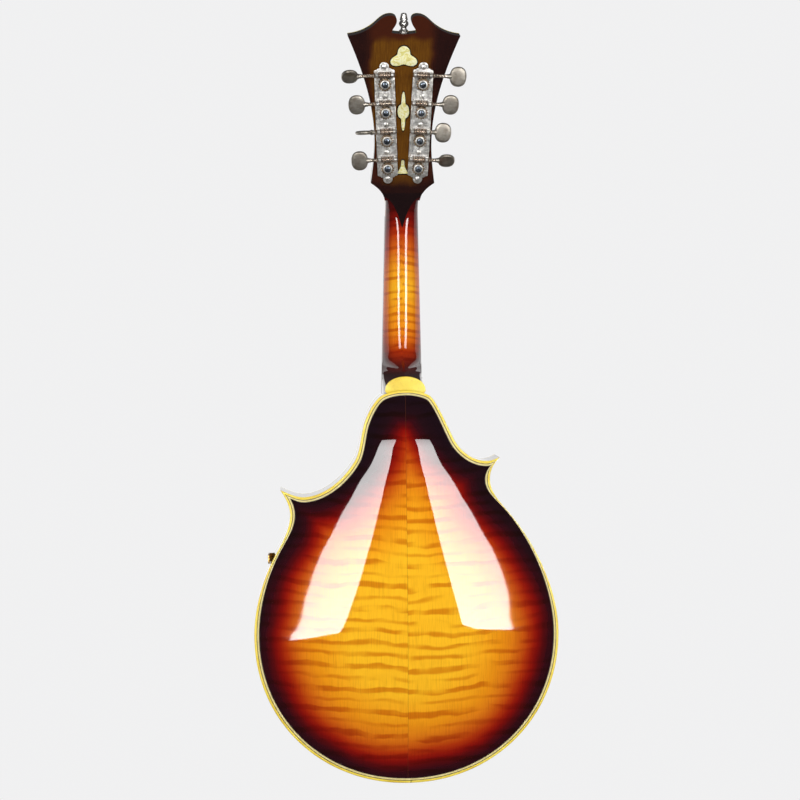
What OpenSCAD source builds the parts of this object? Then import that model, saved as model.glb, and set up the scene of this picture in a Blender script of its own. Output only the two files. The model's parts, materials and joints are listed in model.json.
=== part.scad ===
// Two-point carved mandolin, seen and hung by its neck.
// Millimetres. +Z runs up the neck, +X is the bass side, +Y is the string side.
// The origin is on the centre line where nut and headstock meet, in the glue plane of the fingerboard.

/* [Main] */

/* [Body] */
// Overall width of the lower bout
body_width = 250; // [240:1:260]
// Outer edge height of the rim, plates included
body_depth = 45; // [42:0.5:50]
// Thickness of both carved plates at the edge
plate_edge = 4.5; // [4:0.1:5]
// Carved thickness away from the edge
plate_thick = 4.0; // [3:0.1:4.5]
// Rise of the top arch above its edge
top_arch = 15; // [10:0.5:16]
// Rise of the back arch above its edge
back_arch = 14; // [10:0.5:16]
// Thickness of the bent ribs, also the width of the binding
rib_thick = 2.0; // [1.6:0.1:2.4]
// Height of the binding strip
binding_height = 6.4; // [5:0.1:7]
// Width of the purfling band inside the binding
purf_width = 2.4; // [1.6:0.1:3]
// Depth of the purfling band
purf_depth = 1.8; // [1:0.1:2.5]

/* [Neck and fingerboard] */
// Neck angle to the body, in degrees
neck_angle = 4.2; // [3.5:0.1:5]
// Extra angle of the headstock, in degrees
head_angle = 14; // [12:0.5:16]
// Width at the nut
nut_width = 27.5; // [27:0.1:29]
// String length
scale_len = 353; // [345:1:356]
// Length of the nut along the strings
nut_len = 4.8; // [4:0.1:6]
// Thickness of the fingerboard
board_thick = 4.8; // [4:0.1:6]
// Length of the fingerboard
board_len = 256; // [250:1:262]
// Number of frets
fret_count = 22; // [20:1:24]
// Height of a fret above the fingerboard
fret_high = 1.0; // [0.8:0.05:1.3]

/* [Headstock] */
// Thickness of the headstock with its veneers
head_thick = 15; // [14:0.1:16]
// Thickness of the front veneer
veneer_face = 1.5; // [1:0.1:2]
// Thickness of the back veneer
veneer_back = 1.0; // [0.6:0.1:1.5]

/* [Tuners] */
// Distance between neighbouring string posts
post_pitch = 23.15; // [22.9:0.05:23.4]
// Splay of each tuner strip, in degrees
splay = 2.35; // [0:0.05:3]
// Lead of the worm
worm_lead = 2.2; // [1.8:0.1:2.6]
// Number of teeth on each gear
gear_teeth = 15; // [14:1:16]
// Distance between worm axis and gear axis
worm_offset = 7.5; // [7.4:0.1:7.8]
// Running clearance of shafts in their bores
run = 0.05; // [0.04:0.01:0.1]

/* [Hidden] */
BETA = neck_angle;
HEAD = neck_angle + head_angle;
K = body_width / 250;
YB = -body_depth;             // outer face of the back at its edge
YBI = -body_depth + plate_edge; // inner face of the back at its edge
YTI = -plate_edge;            // inner face of the top at its edge
RB = rib_thick;
PW = rib_thick + purf_width;

// ---------------------------------------------------------------- helpers
// a point on a cubic curve
function bz(a, b, c, d, t) =
  a * pow(1 - t, 3) + 3 * b * t * pow(1 - t, 2) + 3 * c * t * t * (1 - t) + d * pow(t, 3);
function rev(v) = [for (i = [len(v) - 1 : -1 : 0]) v[i]];
function mirx(v) = [for (p = v) [-p[0], p[1]]];
function part(v, a, b) = [for (i = [a : b]) v[i]];
function interp(tab, x, i = 0) =
  x <= tab[0][0] ? tab[0][1] :
  i >= len(tab) - 1 ? tab[len(tab) - 1][1] :
  x < tab[i + 1][0] ?
    tab[i][1] + (tab[i + 1][1] - tab[i][1]) * (x - tab[i][0]) / (tab[i + 1][0] - tab[i][0]) :
  interp(tab, x, i + 1);

// a plane figure in X and Z, from y0 up to y1
module slab(pts, y0, y1) {
  translate([0, y1, 0]) rotate([90, 0, 0]) linear_extrude(y1 - y0) polygon(pts);
}
// a plane figure in Y and Z, from x0 to x1
module xprism(pts, x0, x1) {
  translate([x0, 0, 0]) rotate([90, 0, 90]) linear_extrude(x1 - x0) polygon(pts);
}
// a plane figure in X and Y, from z0 to z1
module zprism(pts, z0, z1) {
  translate([0, 0, z0]) linear_extrude(z1 - z0) polygon(pts);
}
// a round bar between two points
module bar(a, b, r, fn = 12) {
  d = b - a;
  l = norm(d);
  translate(a) rotate([0, acos(d[2] / l), atan2(d[1], d[0])]) cylinder(h = l, r = r, $fn = fn);
}
module ybar(x, z, y0, y1, r, fn = 32) {
  translate([x, y1, z]) rotate([90, 0, 0]) cylinder(h = y1 - y0, r = r, $fn = fn);
}
module in_neck() { rotate([BETA, 0, 0]) children(); }
module in_head() { rotate([HEAD, 0, 0]) children(); }

// ---------------------------------------------------------------- body outline
// each knot: place, inward direction, handle back, handle on
bass_knots = [
  [[0, -472.5],    [0, 1],         [-72, 0],       [72, 0]],
  [[125, -350],    [-1, 0],        [0, -69],       [0, 33]],
  [[88, -255],     [-0.78, 0.62],  [20, -25],      [-10, 12.5]],
  [[69, -224],     [-1, -0.02],    [0.3, -11],     [-0.2, 9]],
  [[77.2, -205.2], [-1.75, -1.54], [-4.2, -4.6],   [-3.4, -1.6]],
  [[66.5, -208.4], [0, -1],        [3.6, 0],       [-11, 0]],
  [[39.5, -190],   [-0.88, -0.48], [5.4, -10.5],   [-4.8, 9.4]],
  [[20, -154.4],   [-0.55, -0.84], [5.6, -4.4],    [-4.6, 2.8]],
  [[0, -149.8],    [0, -1],        [7, 0],         [-7, 0]]
];
bass_n = [13, 10, 4, 5, 3, 7, 5, 4];
treble_knots = [
  [[0, -472.5],      [0, 1],         [72, 0],       [-72, 0]],
  [[-125, -350],     [1, 0],         [0, -69],      [0, 26]],
  [[-105, -280],     [0.87, 0.5],    [-10.5, -18],  [5, 9]],
  [[-95, -251],      [1, 0.02],      [0, -10],      [0, 8.5]],
  [[-102.9, -230.6], [1.95, -1.66],  [3.4, -4.9],   [4.9, -1.9]],
  [[-84, -236.6],    [0, -1],        [-7, 0],       [15.5, 0]],
  [[-41.5, -207],    [0.86, -0.5],   [-10, -17],    [4.3, 7.4]],
  [[-34, -177.5],    [0.93, -0.36],  [-2.6, -8.5],  [3, 9.2]],
  [[-20, -154.4],    [0.55, -0.84],  [-6, -4.6],    [4.6, 2.8]],
  [[0, -149.8],      [0, -1],        [-7, 0],       [7, 0]]
];
treble_n = [13, 9, 4, 5, 4, 9, 4, 4, 4];

function knot_at(k, d) = K * k[0] + d * k[1];
function chain(ks, ns, d) =
  concat(
    [for (j = [0 : len(ns) - 1])
      let (a = knot_at(ks[j], d), b = knot_at(ks[j + 1], d),
           s = norm(b - a) / norm(K * (ks[j + 1][0] - ks[j][0])))
      for (i = [0 : ns[j] - 1])
        bz(a, a + ks[j][3] * K * s, b + ks[j + 1][2] * K * s, b, i / ns[j])],
    [knot_at(ks[len(ns)], d)]);
function sum_to(v, n, i = 0, acc = 0) = i >= n ? acc : sum_to(v, n, i + 1, acc + v[i]);

function bass(d) = chain(bass_knots, bass_n, d);         // tail to neck on the bass side
function treble(d) = chain(treble_knots, treble_n, d);   // tail to neck on the treble side
function ring(d) = concat(bass(d), [for (i = [len(treble(0)) - 2 : -1 : 1]) treble(d)[i]]);
NB = len(bass(0)) - 1;
NT = len(treble(0)) - 1;
B_TIP = sum_to(bass_n, 4);
T_TIP = sum_to(treble_n, 4);
B_LO = sum_to(bass_n, 3);
B_UP = sum_to(bass_n, 5);
T_LO = sum_to(treble_n, 3);
T_UP = sum_to(treble_n, 5);
B_NK = sum_to(bass_n, 6) + 1;
T_NK = sum_to(treble_n, 7);
TAILN = 4;

// a strip of the rim between two indices and two depths
function strip(p0, p1, a, b) = concat(part(p0, a, b), rev(part(p1, a, b)));

// ---------------------------------------------------------------- carved plates
spine_lo = -398; spine_hi = -200;
function spine(z) = spine_lo * K + (z / K + 472.5) * (spine_hi - spine_lo) / 322.7 * K;
function inward(p, f) = [p[0] * (1 - f), p[1] * (1 - f) + f * spine(p[1])];
arch_z = -345;          // height of the crown of both plates
arch_reach = 121;       // distance from the crown down to where the arch dies out
width_tab = [
  [-345, 119], [-320, 114.5], [-300, 108], [-280, 98], [-262, 86], [-248, 76], [-236, 65],
  [-222, 54], [-208, 42], [-195, 36], [-180, 30.5], [-165, 23], [-152, 16]
];
function along(z) = let (s = abs(z - arch_z) / arch_reach) z < arch_z ? s * s : s * s / (1 + 0.933 * s);
function spread(x, z) = sqrt(pow(x / interp(width_tab, z), 2) + along(z));
function dome(u) = u < 1 ? pow(1 - pow(u, 2.2), 1.6) : 0;
function height(x, z, rise) =
  let (u = spread(x / K, z / K)) rise * dome(u) - 0.5 * exp(-pow((u - 0.93) / 0.035, 2));
out_f = [0.05, 0.11, 0.2, 0.32, 0.46, 0.62, 0.8, 0.93];
in_f = [0.12, 0.2, 0.32, 0.46, 0.62, 0.8, 0.93];
apex_z = arch_z;

// half a plate: side = list of rim points from tail to neck as a function of depth, dir = +1 rises to +Y
// e = outer edge height, rise = arch height, flip = face order
module half_plate(r2, r4, dir, rise, flip) {
  n = len(r2);
  // heights are measured outward from the outer edge plane
  rings = concat(
    [[for (p = r2) [p[0], -plate_edge, p[1]]]],
    [[for (p = r2) [p[0], -purf_depth, p[1]]]],
    [[for (p = r4) [p[0], -purf_depth, p[1]]]],
    [[for (p = r4) [p[0], 0, p[1]]]],
    [for (f = out_f) [for (p = r4) let (q = inward(p, f)) [q[0], height(q[0], q[1], rise), q[1]]]],
    [[for (p = r4) [0, height(0, apex_z * K, rise), apex_z * K]]],
    [for (i = [len(in_f) - 1 : -1 : 0]) let (f = in_f[i]) [for (p = r4) let (q = inward(p, f))
      [q[0], f < 0.13 ? -plate_edge :
        max(-plate_edge, height(q[0], q[1], rise) - plate_thick * (1 + 0.25 * f)), q[1]]]]
  );
  m = len(rings);
  apex = 4 + len(out_f);
  // the apex ring is one point; its inner partner is added separately
  flat = [for (r = rings) for (p = r) [p[0], dir * p[1], p[2]]];
  inner_apex = [0, dir * (height(0, apex_z * K, rise) - plate_thick * 1.25), apex_z * K];
  pts = concat(flat, [inner_apex]);
  IA = len(flat);
  A = apex * n;
  quads = [for (k = [0 : m - 2]) if (k != apex - 1 && k != apex) for (i = [0 : n - 2]) each
    [[k * n + i, k * n + i + 1, (k + 1) * n + i + 1], [k * n + i, (k + 1) * n + i + 1, (k + 1) * n + i]]];
  last = (m - 1) * n;
  close = [for (i = [0 : n - 2]) each [[last + i, last + i + 1, i + 1], [last + i, i + 1, i]]];
  outer_cap = [for (i = [0 : n - 2]) [(apex - 1) * n + i, (apex - 1) * n + i + 1, A]];
  inner_cap = [for (i = [0 : n - 2]) [(apex + 1) * n + i + 1, (apex + 1) * n + i, IA]];
  // the seam face in the plane x = 0: two runs of rings joined over the apexes
  lo = [for (k = [0 : apex - 1]) k * n];
  hi = [for (k = [apex - 1 : -1 : 0]) k * n + n - 1];
  ihi = [for (k = [m - 1 : -1 : apex + 1]) k * n + n - 1];
  ilo = [for (k = [apex + 1 : m - 1]) k * n];
  seam = concat(lo, [A], hi, ihi, [IA], ilo);
  faces = concat(quads, close, outer_cap, inner_cap, [rev(seam)]);
  polyhedron(pts, flip ? faces : [for (f = faces) rev(f)], convexity = 6);
}

module back_plate_bass() color([0.45, 0.12, 0.05])
  translate([0, YB, 0]) half_plate(bass(RB), bass(PW), -1, back_arch, true);
module back_plate_treble() color([0.5, 0.14, 0.05])
  translate([0, YB, 0]) half_plate(treble(RB), treble(PW), -1, back_arch, false);

// one edge of a sound hole's stem, t from 0 at the upper end to 1 at the lower end
function stem_side(t, s) =
  let (c = bz([46, -306], [62, -316], [50, -372], [70, -388], t), w = 1.4 + 2.4 * sin(180 * t))
  [c[0] + s * w, c[1] + s * 0.3 * w];
// one sound hole: a slanted stem between two round eyes
module sound_hole() {
  n = 10;
  left = [for (i = [0 : n]) stem_side(i / n, -1)];
  right = [for (i = [n : -1 : 0]) stem_side(i / n, 1)];
  slab(concat(left, right), -8, 20);
  ybar(42.6, -311.5, -8, 20, 4.4, 24);
  ybar(73.6, -383, -8, 20, 5.6, 24);
}
module top_plate_bass() color([0.75, 0.42, 0.12]) difference() {
  half_plate(bass(RB), bass(PW), 1, top_arch, false);
  sound_hole();
}
module top_plate_treble() color([0.78, 0.45, 0.14]) difference() {
  half_plate(treble(RB), treble(PW), 1, top_arch, true);
  mirror([1, 0, 0]) sound_hole();
}

// ---------------------------------------------------------------- ribs, blocks, linings
RIB0 = YB + binding_height;
RIB1 = -binding_height;
module lower_bass_rib() color([0.36, 0.1, 0.05]) slab(strip(bass(0), bass(RB), 0, B_TIP), RIB0, RIB1);
module upper_bass_rib() color([0.3, 0.08, 0.05]) slab(strip(bass(0), bass(RB), B_TIP, NB), RIB0, RIB1);
module lower_treble_rib() color([0.36, 0.1, 0.05]) slab(strip(treble(0), treble(RB), 0, T_TIP), RIB0, RIB1);
module upper_treble_rib() color([0.3, 0.08, 0.05])
  slab(strip(treble(0), treble(RB), T_TIP, NT), RIB0, RIB1);

LIN = 7.5;
function neck_block() = concat(
  part(bass(RB), B_NK, NB),
  [for (i = [NT - 1 : -1 : T_NK]) treble(RB)[i]],
  [[-30 * K, -186 * K], [30 * K, -186 * K]]);
function tail_block() = concat(
  rev(part(treble(RB), 1, TAILN)),
  part(bass(RB), 0, TAILN),
  [bass(16)[TAILN], [0, -453 * K], treble(16)[TAILN]]);
module body_blocks() color([0.8, 0.66, 0.45]) {
  slab(neck_block(), YBI, YTI);
  slab(tail_block(), YBI, YTI);
  // corner blocks
  slab(concat(part(bass(RB), B_LO, B_UP), [bass(LIN)[B_UP], [48, -214] * K, bass(LIN)[B_LO]]), YBI, YTI);
  slab(concat(part(treble(RB), T_LO, T_UP),
    [treble(LIN)[T_UP], [-78, -250] * K, treble(LIN)[T_LO]]), YBI, YTI);
}
module lining_ring(y0, y1) {
  slab(strip(bass(RB), bass(LIN), TAILN, B_LO), y0, y1);
  slab(strip(treble(RB), treble(LIN), TAILN, T_LO), y0, y1);
  slab(strip(bass(RB), bass(LIN), B_UP, B_NK), y0, y1);
  slab(strip(treble(RB), treble(LIN), T_UP, T_NK), y0, y1);
}
module linings() color([0.85, 0.72, 0.5]) difference() {
  union() {
    lining_ring(YBI, YBI + 6.5);
    lining_ring(YTI - 6.5, YTI);
  }
  slab(neck_block(), YBI - 1, YTI + 1);
  slab(tail_block(), YBI - 1, YTI + 1);
}
module tone_bars() color([0.86, 0.7, 0.42]) {
  bar_z = [for (i = [0 : 12]) -306 - i * 9];
  for (s = [-1, 1])
    xprism(concat([for (z = bar_z) [height(25 * K, z * K, top_arch) - 5.6, z * K]],
      [[-2, -414 * K], [-3.5, -400 * K], [-3.5, -330 * K], [0, -306 * K]]), s * 22 - 3, s * 22 + 3);
}

// ---------------------------------------------------------------- edge trim
module trim(a, b, y0, y1) {
  slab(strip(bass(a), bass(b), 0, NB), y0, y1);
  slab(strip(treble(a), treble(b), 0, NT), y0, y1);
}
module back_binding() color([0.88, 0.72, 0.38]) trim(0, RB, YB, YB + binding_height);
module top_binding() color([0.88, 0.72, 0.38]) trim(0, RB, -binding_height, 0);
module back_purfling() color([0.2, 0.12, 0.08]) trim(RB, PW, YB, YB + purf_depth);
module top_purfling() color([0.2, 0.12, 0.08]) trim(RB, PW, -purf_depth, 0);

// ---------------------------------------------------------------- neck
// stations down the neck: z, half width, depth, roundness, set back of the face
H14 = tan(head_angle);
function board_half(z) = nut_width / 2 + max(0, -z) * 0.0225;
neck_st = [
  [17,   16.3, 15.45, 8,    -17 * H14],
  [14,   15.0, 15.45, 7,    -14 * H14],
  [10,   14.1, 15.4, 6,    -10 * H14],
  [5,    13.7, 15.2, 4.2,    -5 * H14],
  [0,    13.75, 14.7, 3.2,  0],
  [-8,   board_half(-8), 13.9, 2.5,  0],
  [-20,  board_half(-20), 13.6, 2.2,  0],
  [-50,  board_half(-50), 14.0, 2.1,  0],
  [-80,  board_half(-80), 14.6, 2.05,  0],
  [-100, board_half(-100), 15.2, 2,  0],
  [-112, board_half(-112), 16.4, 1.9, 0],
  [-120, board_half(-120), 19, 1.65, 0],
  [-125, board_half(-125), 23.5, 1.3, 0],
  [-128.5, board_half(-128.5), 30, 1.05, 0],
  [-131, board_half(-131), 38, 0.95, 0],
  [-134, board_half(-134), 48, 1, 0],
  [-138.5, board_half(-138.5), 56, 1.25, 0],
  [-143, board_half(-143), 60, 2.3, 0],
  [-150, board_half(-150), 62, 4.5, 0],
  [-157, board_half(-157), 64, 6, 0]
];
NS = 20;
function neck_sec(s) = [for (i = [0 : NS])
  let (a = 180 * i / NS, c = cos(a), d = sin(a), e = 2 / s[3],
    x = s[1] * sign(c) * pow(abs(c), e), y = -s[2] * pow(max(0, d), e))
  [x, y + s[4], s[0]]];
module neck_shaft() {
  m = len(neck_st);
  n = NS + 1;
  pts = [for (s = neck_st) each neck_sec(s)];
  side = [for (k = [0 : m - 2]) for (i = [0 : n - 1]) let (j = (i + 1) % n) each
    [[k * n + i, (k + 1) * n + i, (k + 1) * n + j], [k * n + i, (k + 1) * n + j, k * n + j]]];
  ends = [[for (i = [0 : n - 1]) i], [for (i = [n - 1 : -1 : 0]) (m - 1) * n + i]];
  polyhedron(pts, concat(side, ends), convexity = 6);
}
module neck() color([0.55, 0.2, 0.06]) difference() {
  union() {
    in_neck() neck_shaft();
    in_neck() slab([
      [-board_half(-140), -140], [board_half(-140), -140],
      [board_half(-190), -190], [-board_half(-190), -190]], -5, 0);
    in_head() slab(head_from(12), -head_thick + veneer_back, -veneer_face);
  }
  slab(ring(0), YB - 20, 0);
  translate([-40, YB - 40, -200]) cube([80, 40 + 2.8, 90]);
  in_neck() translate([-40, 0, -200]) cube([80, 40, 199.999]);
  in_head() tuner_holes(3.6, -head_thick - 1, 1);
  in_head() tuner_holes(4.4, -5, 1);
  in_head() translate([-40, -veneer_face, 0.6]) cube([80, 6, 60]);
  in_head() translate([-40, -head_thick - 3, 18.5]) cube([80, 3 + veneer_back, 20]);
  in_head() translate([0, -7.4, 149.42]) cylinder(h = 4, r = 4.3, $fn = 36);
}
module heel_cap() color([0.86, 0.7, 0.4]) difference() {
  slab([for (i = [0 : 24]) let (a = 180 * i / 24)
    [16.6 * cos(a), -150.6 + 12 * pow(sin(a), 0.85)]], YB, YB + 2.8);
  slab(ring(0), YB - 2, YB + 4);
}

// ---------------------------------------------------------------- fingerboard
function fret_z(n) = -nut_len - scale_len * (1 - pow(2, -n / 12));
bz0 = -nut_len;
bz1 = -nut_len - board_len;
module fingerboard() color([0.09, 0.06, 0.05]) in_neck() difference() {
  slab([
    [-board_half(bz0), bz0], [board_half(bz0), bz0],
    [board_half(bz1), bz1 - 3], [0, bz1 + 4], [-board_half(bz1), bz1 + 3]], 0, board_thick);
  inlay_spots(board_thick - 0.9, board_thick + 1);
}
dots = [[5, 2.2, 0], [7, 2.2, 0], [10, 2.2, 0], [12, 2, 5.6], [12, 2, -5.6], [15, 2, 0], [17, 1.8, 0]];
module inlay_spots(y0, y1) {
  for (d = dots) ybar(d[2], (fret_z(d[0]) + fret_z(d[0] - 1)) / 2, y0, y1, d[1], 24);
}
module position_inlays() color([0.92, 0.9, 0.86]) in_neck() inlay_spots(board_thick - 0.9, board_thick);
module frets() color([0.78, 0.76, 0.7]) in_neck()
  for (n = [1 : fret_count])
    translate([0, 0, fret_z(n)])
      xprism([
        [board_thick, -0.55], [board_thick, 0.55], [board_thick + fret_high * 0.7, 0.45],
        [board_thick + fret_high, 0], [board_thick + fret_high * 0.7, -0.45]],
        -board_half(fret_z(n)) + 0.3, board_half(fret_z(n)) - 0.3);
nut_top = board_thick + 1.3;
module nut() color([0.93, 0.89, 0.78]) in_neck()
  xprism([[0, -nut_len], [0, -0.15], [nut_top - 1.5, -0.9], [nut_top, -2.4], [nut_top, -nut_len]],
    -nut_width / 2 + 0.2, nut_width / 2 - 0.2);

// ---------------------------------------------------------------- headstock
head_knots = [
  [[13.6, 0],       [-1, 0.0],      [0, 0],        [-0.2, 16]],
  [[26.3, 27.0],    [-1.09, 0.59],  [-9.8, -6.5],  [-1.7, 12]],
  [[23.4, 62],      [-1, 0],        [-0.2, -10],   [0.3, 26]],
  [[45.5, 148.0],   [-1.43, -0.87], [-15, -34],    [-7.5, 0.7]],
  [[23.5, 157.4],   [-0.66, -0.75], [6.5, -5.8],   [-3.5, 3.2]],
  [[11.1, 164.3],   [0, -1],        [5.6, 0],      [-3.4, 0]],
  [[5.9, 160.2],    [0.9, -0.2],    [0, 2.4],      [0, -4.2]],
  [[10, 150.4],     [0.6, -0.9],    [0, 3.2],      [0, 0]],
  [[0, 149.4],      [0, -1],        [4, 0],        [0, 0]]
];
head_n = [6, 6, 10, 6, 5, 4, 4, 2];
function head_knot(j, d) = head_knots[j][0] + d * head_knots[j][1];
function head_side(d) = concat(
  [for (j = [0 : len(head_n) - 1])
    let (a = head_knot(j, d), b = head_knot(j + 1, d),
         s = norm(b - a) / norm(head_knots[j + 1][0] - head_knots[j][0]))
    for (i = [0 : head_n[j] - 1])
      bz(a, a + head_knots[j][3] * s, b + head_knots[j + 1][2] * s, b, i / head_n[j])],
  [head_knot(len(head_n), d)]);
function head_poly(d) =
  let (h = head_side(d)) concat(h, rev(mirx(part(h, 0, len(h) - 2))));
// the same outline from the height z0 up
function head_from(z0) =
  let (h = [for (p = head_side(0)) if (p[1] >= z0) p],
       low = [interp([for (p = part(head_side(0), 0, 6)) [p[1], p[0]]], z0), z0])
  concat([low], h, rev(mirx(concat([low], part(h, 0, len(h) - 2)))));

// post places in the headstock: strip centre, then along the strip
strip_z = 77;
strip_x = 14.1;
post_z = [for (k = [0 : 3]) 1.5 * post_pitch - 2.2 - k * post_pitch];
module strip_place(side) {
  if (side > 0) translate([strip_x, 0, strip_z]) rotate([0, splay, 0]) children();
  else mirror([1, 0, 0]) translate([strip_x, 0, strip_z]) rotate([0, splay, 0]) children();
}
module tuner_holes(r, y0, y1) {
  for (s = [-1, 1]) strip_place(s) for (z = post_z) ybar(0, z, y0, y1, r, 32);
}
HB = -head_thick;   // outer back face of the headstock
module head_face_veneer() color([0.06, 0.05, 0.05]) in_head() difference() {
  slab(clip0(head_poly(1.3)), -veneer_face, 0);
  tuner_holes(4.4, -5, 1);
}
function clip0(v) = [for (p = v) [p[0], max(p[1], 0.6)]];
module head_binding() color([0.85, 0.72, 0.45]) in_head() difference() {
  slab(clip0(head_poly(0)), -veneer_face, 0);
  slab([for (p = head_poly(1.3)) [p[0], max(p[1], 0.0)]], -veneer_face - 1, 1);
  translate([-20, -4, -4]) cube([40, 8, 4.6]);
}
module head_back_veneer() color([0.08, 0.05, 0.05]) in_head() difference() {
  slab(head_from(18.5), HB, HB + veneer_back);
  tuner_holes(3.6, HB - 1, HB + 3);
  for (s = inlay_shapes) slab(s, HB - 1, HB + 0.6);
}
// three generic ornaments: a trefoil crown, a quatrefoil spindle and a pointed foot
// an ornament with n lobes round a centre
function lobes(cx, cz, rx, rz, n, k, ph = 0) = [for (i = [0 : 47])
  let (a = 360 * i / 48, r = 1 + k * cos(n * (a - ph)))
  [cx + rx * r * cos(a), cz + rz * r * sin(a)]];
// an ornament that stands on a flat edge and rises to a point
function foot(cx, z0, w, h) = [for (i = [0 : 24])
  let (a = 180 * i / 24)
  [cx + w * cos(a) * (0.72 + 0.28 * cos(4 * a)), z0 + h * pow(sin(a), 1.4)]];
inlay_shapes = [
  lobes(0, 130.3, 9.2, 7.4, 3, 0.3, 90),
  lobes(0, 86.7, 3.6, 12.4, 4, 0.3, 0),
  foot(0, 34.8, 4.6, 11.5)
];
module head_back_inlays() color([0.9, 0.9, 0.86]) in_head()
  for (s = inlay_shapes) slab(s, HB, HB + 0.6);

module finial() color([0.75, 0.75, 0.73]) in_head() translate([0, -7.4, 149.42]) {
  cylinder(h = 1.4, r = 4.1, $fn = 36);
  translate([0, 0, 1.4]) cylinder(h = 4.2, r1 = 2.5, r2 = 3.2, $fn = 36);
  translate([0, 0, 7.9]) sphere(r = 3.9, $fn = 36);
  translate([0, 0, 11]) cylinder(h = 3.4, r = 2.6, $fn = 36);
  translate([0, 0, 14.4]) cylinder(h = 1.6, r = 3.1, $fn = 36);
}

// ---------------------------------------------------------------- tuners
PT = 1.2;                       // plate thickness
PY = HB - PT;                   // outer face of the plate
WY = PY - 3.0;                  // height of worm axis and gear middle
WORM_R = 2.2;
WORM_E = 0.55;
EAR0 = 5.3;
EAR1 = 7.5;
SHAFT_R = 1.45;
POST_R = 3.1;
POST_TOP = 2.4;
function plate_poly() =
  let (half = [
         [0, 50.0], [2.2, 49.4], [3.7, 48.0], [4.2, 46.6], [4.2, 45.6],
         [5.6, 45.0], [6.2, 44.2], [8.3, 43.4], [8.3, 0]],
       right = concat(half, [for (i = [len(half) - 2 : -1 : 0]) [half[i][0], -half[i][1]]]))
  concat(right, [for (i = [len(right) - 2 : -1 : 1]) [-right[i][0], right[i][1]]]);
screw_spots = [46.2, 22.2, -1.0, -24.1, -46.2];
module tuner_plate_body() {
  difference() {
    union() {
      slab(plate_poly(), PY, HB);
      for (z = post_z) for (s = [-1, 1])
        translate([s > 0 ? EAR0 : -EAR1, WY - 2.3, z + worm_offset - 2.1])
          cube([EAR1 - EAR0, PY - WY + 2.4, 4.2]);
      for (s = [-1, 1]) translate([s > 0 ? 7.7 : -8.3, PY - 0.5, -42]) cube([0.6, 0.6, 84]);
    }
    for (z = post_z) {
      ybar(0, z, PY - 1, HB + 1, POST_R + run, 32);
      translate([-10, WY, z + worm_offset]) rotate([0, 90, 0])
        cylinder(h = 20, r = SHAFT_R + run, $fn = 32);
    }
    for (z = screw_spots) ybar(0, z, PY - 1, HB + 1, 1.3, 24);
  }
}
module tuner_plate_bass() color([0.74, 0.72, 0.68]) in_head() strip_place(1) tuner_plate_body();
module tuner_plate_treble() color([0.74, 0.72, 0.68]) in_head() strip_place(-1) tuner_plate_body();
module tuner_plate_screws() color([0.7, 0.68, 0.62]) in_head()
  for (s = [-1, 1]) strip_place(s) for (z = screw_spots) difference() {
    union() {
      ybar(0, z, PY, HB, 1.3, 24);
      ybar(0, z, PY - 0.9, PY, 2.2, 24);
    }
    translate([-3, PY - 1.2, z - 0.25]) cube([6, 0.8, 0.5]);
  }
module tuner_bushings() color([0.76, 0.74, 0.7]) in_head()
  for (s = [-1, 1]) strip_place(s) for (z = post_z) difference() {
    union() {
      ybar(0, z, -5, 0, 4.4, 32);
      ybar(0, z, 0, 0.9, 5.2, 32);
    }
    ybar(0, z, -6, 2, POST_R + run, 32);
  }

// key: worm, collars, shaft and oval button; reach = gear axis to button centre, turn = button angle
reach = [28.2, 23.4, 18.6, 22.8];
module tuner_key(side, i, turn) {
  in_head() strip_place(side) translate([0, WY, post_z[i] + worm_offset]) {
    rotate([0, 90, 0]) {
      linear_extrude(height = 4 * worm_lead, center = true, twist = -1440, slices = 32, convexity = 8)
        translate([WORM_E, 0]) circle(r = WORM_R, $fn = 10);
      translate([0, 0, -EAR1 - 0.7]) cylinder(h = EAR1 + 0.7 - 2 * worm_lead, r = SHAFT_R, $fn = 24);
      translate([0, 0, 2 * worm_lead]) cylinder(h = reach[i] - 6.2 - 2 * worm_lead, r = SHAFT_R, $fn = 24);
      translate([0, 0, -EAR0 + 0.15]) cylinder(h = EAR0 - 0.15 - 2 * worm_lead, r = 1.9, $fn = 24);
      translate([0, 0, 2 * worm_lead]) cylinder(h = EAR0 - 0.15 - 2 * worm_lead, r = 1.9, $fn = 24);
      translate([0, 0, reach[i] - 8.6]) cylinder(h = 3.4, r = 1.9, $fn = 24);
    }
    rotate([turn, 0, 0]) translate([reach[i], 0, 0])
      slab([for (k = [0 : 27]) let (a = 360 * k / 28) [7 * cos(a), 8.4 * sin(a)]], -1.8, 1.8);
  }
}
module tuner_key_1() color([0.8, 0.78, 0.72]) tuner_key(1, 0, 0);
module tuner_key_2() color([0.8, 0.78, 0.72]) tuner_key(1, 1, 4);
module tuner_key_3() color([0.8, 0.78, 0.72]) tuner_key(1, 2, 0);
module tuner_key_4() color([0.8, 0.78, 0.72]) tuner_key(1, 3, 43);
module tuner_key_5() color([0.8, 0.78, 0.72]) tuner_key(-1, 0, 43);
module tuner_key_6() color([0.8, 0.78, 0.72]) tuner_key(-1, 1, 8);
module tuner_key_7() color([0.8, 0.78, 0.72]) tuner_key(-1, 2, 78);
module tuner_key_8() color([0.8, 0.78, 0.72]) tuner_key(-1, 3, 6);

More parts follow.
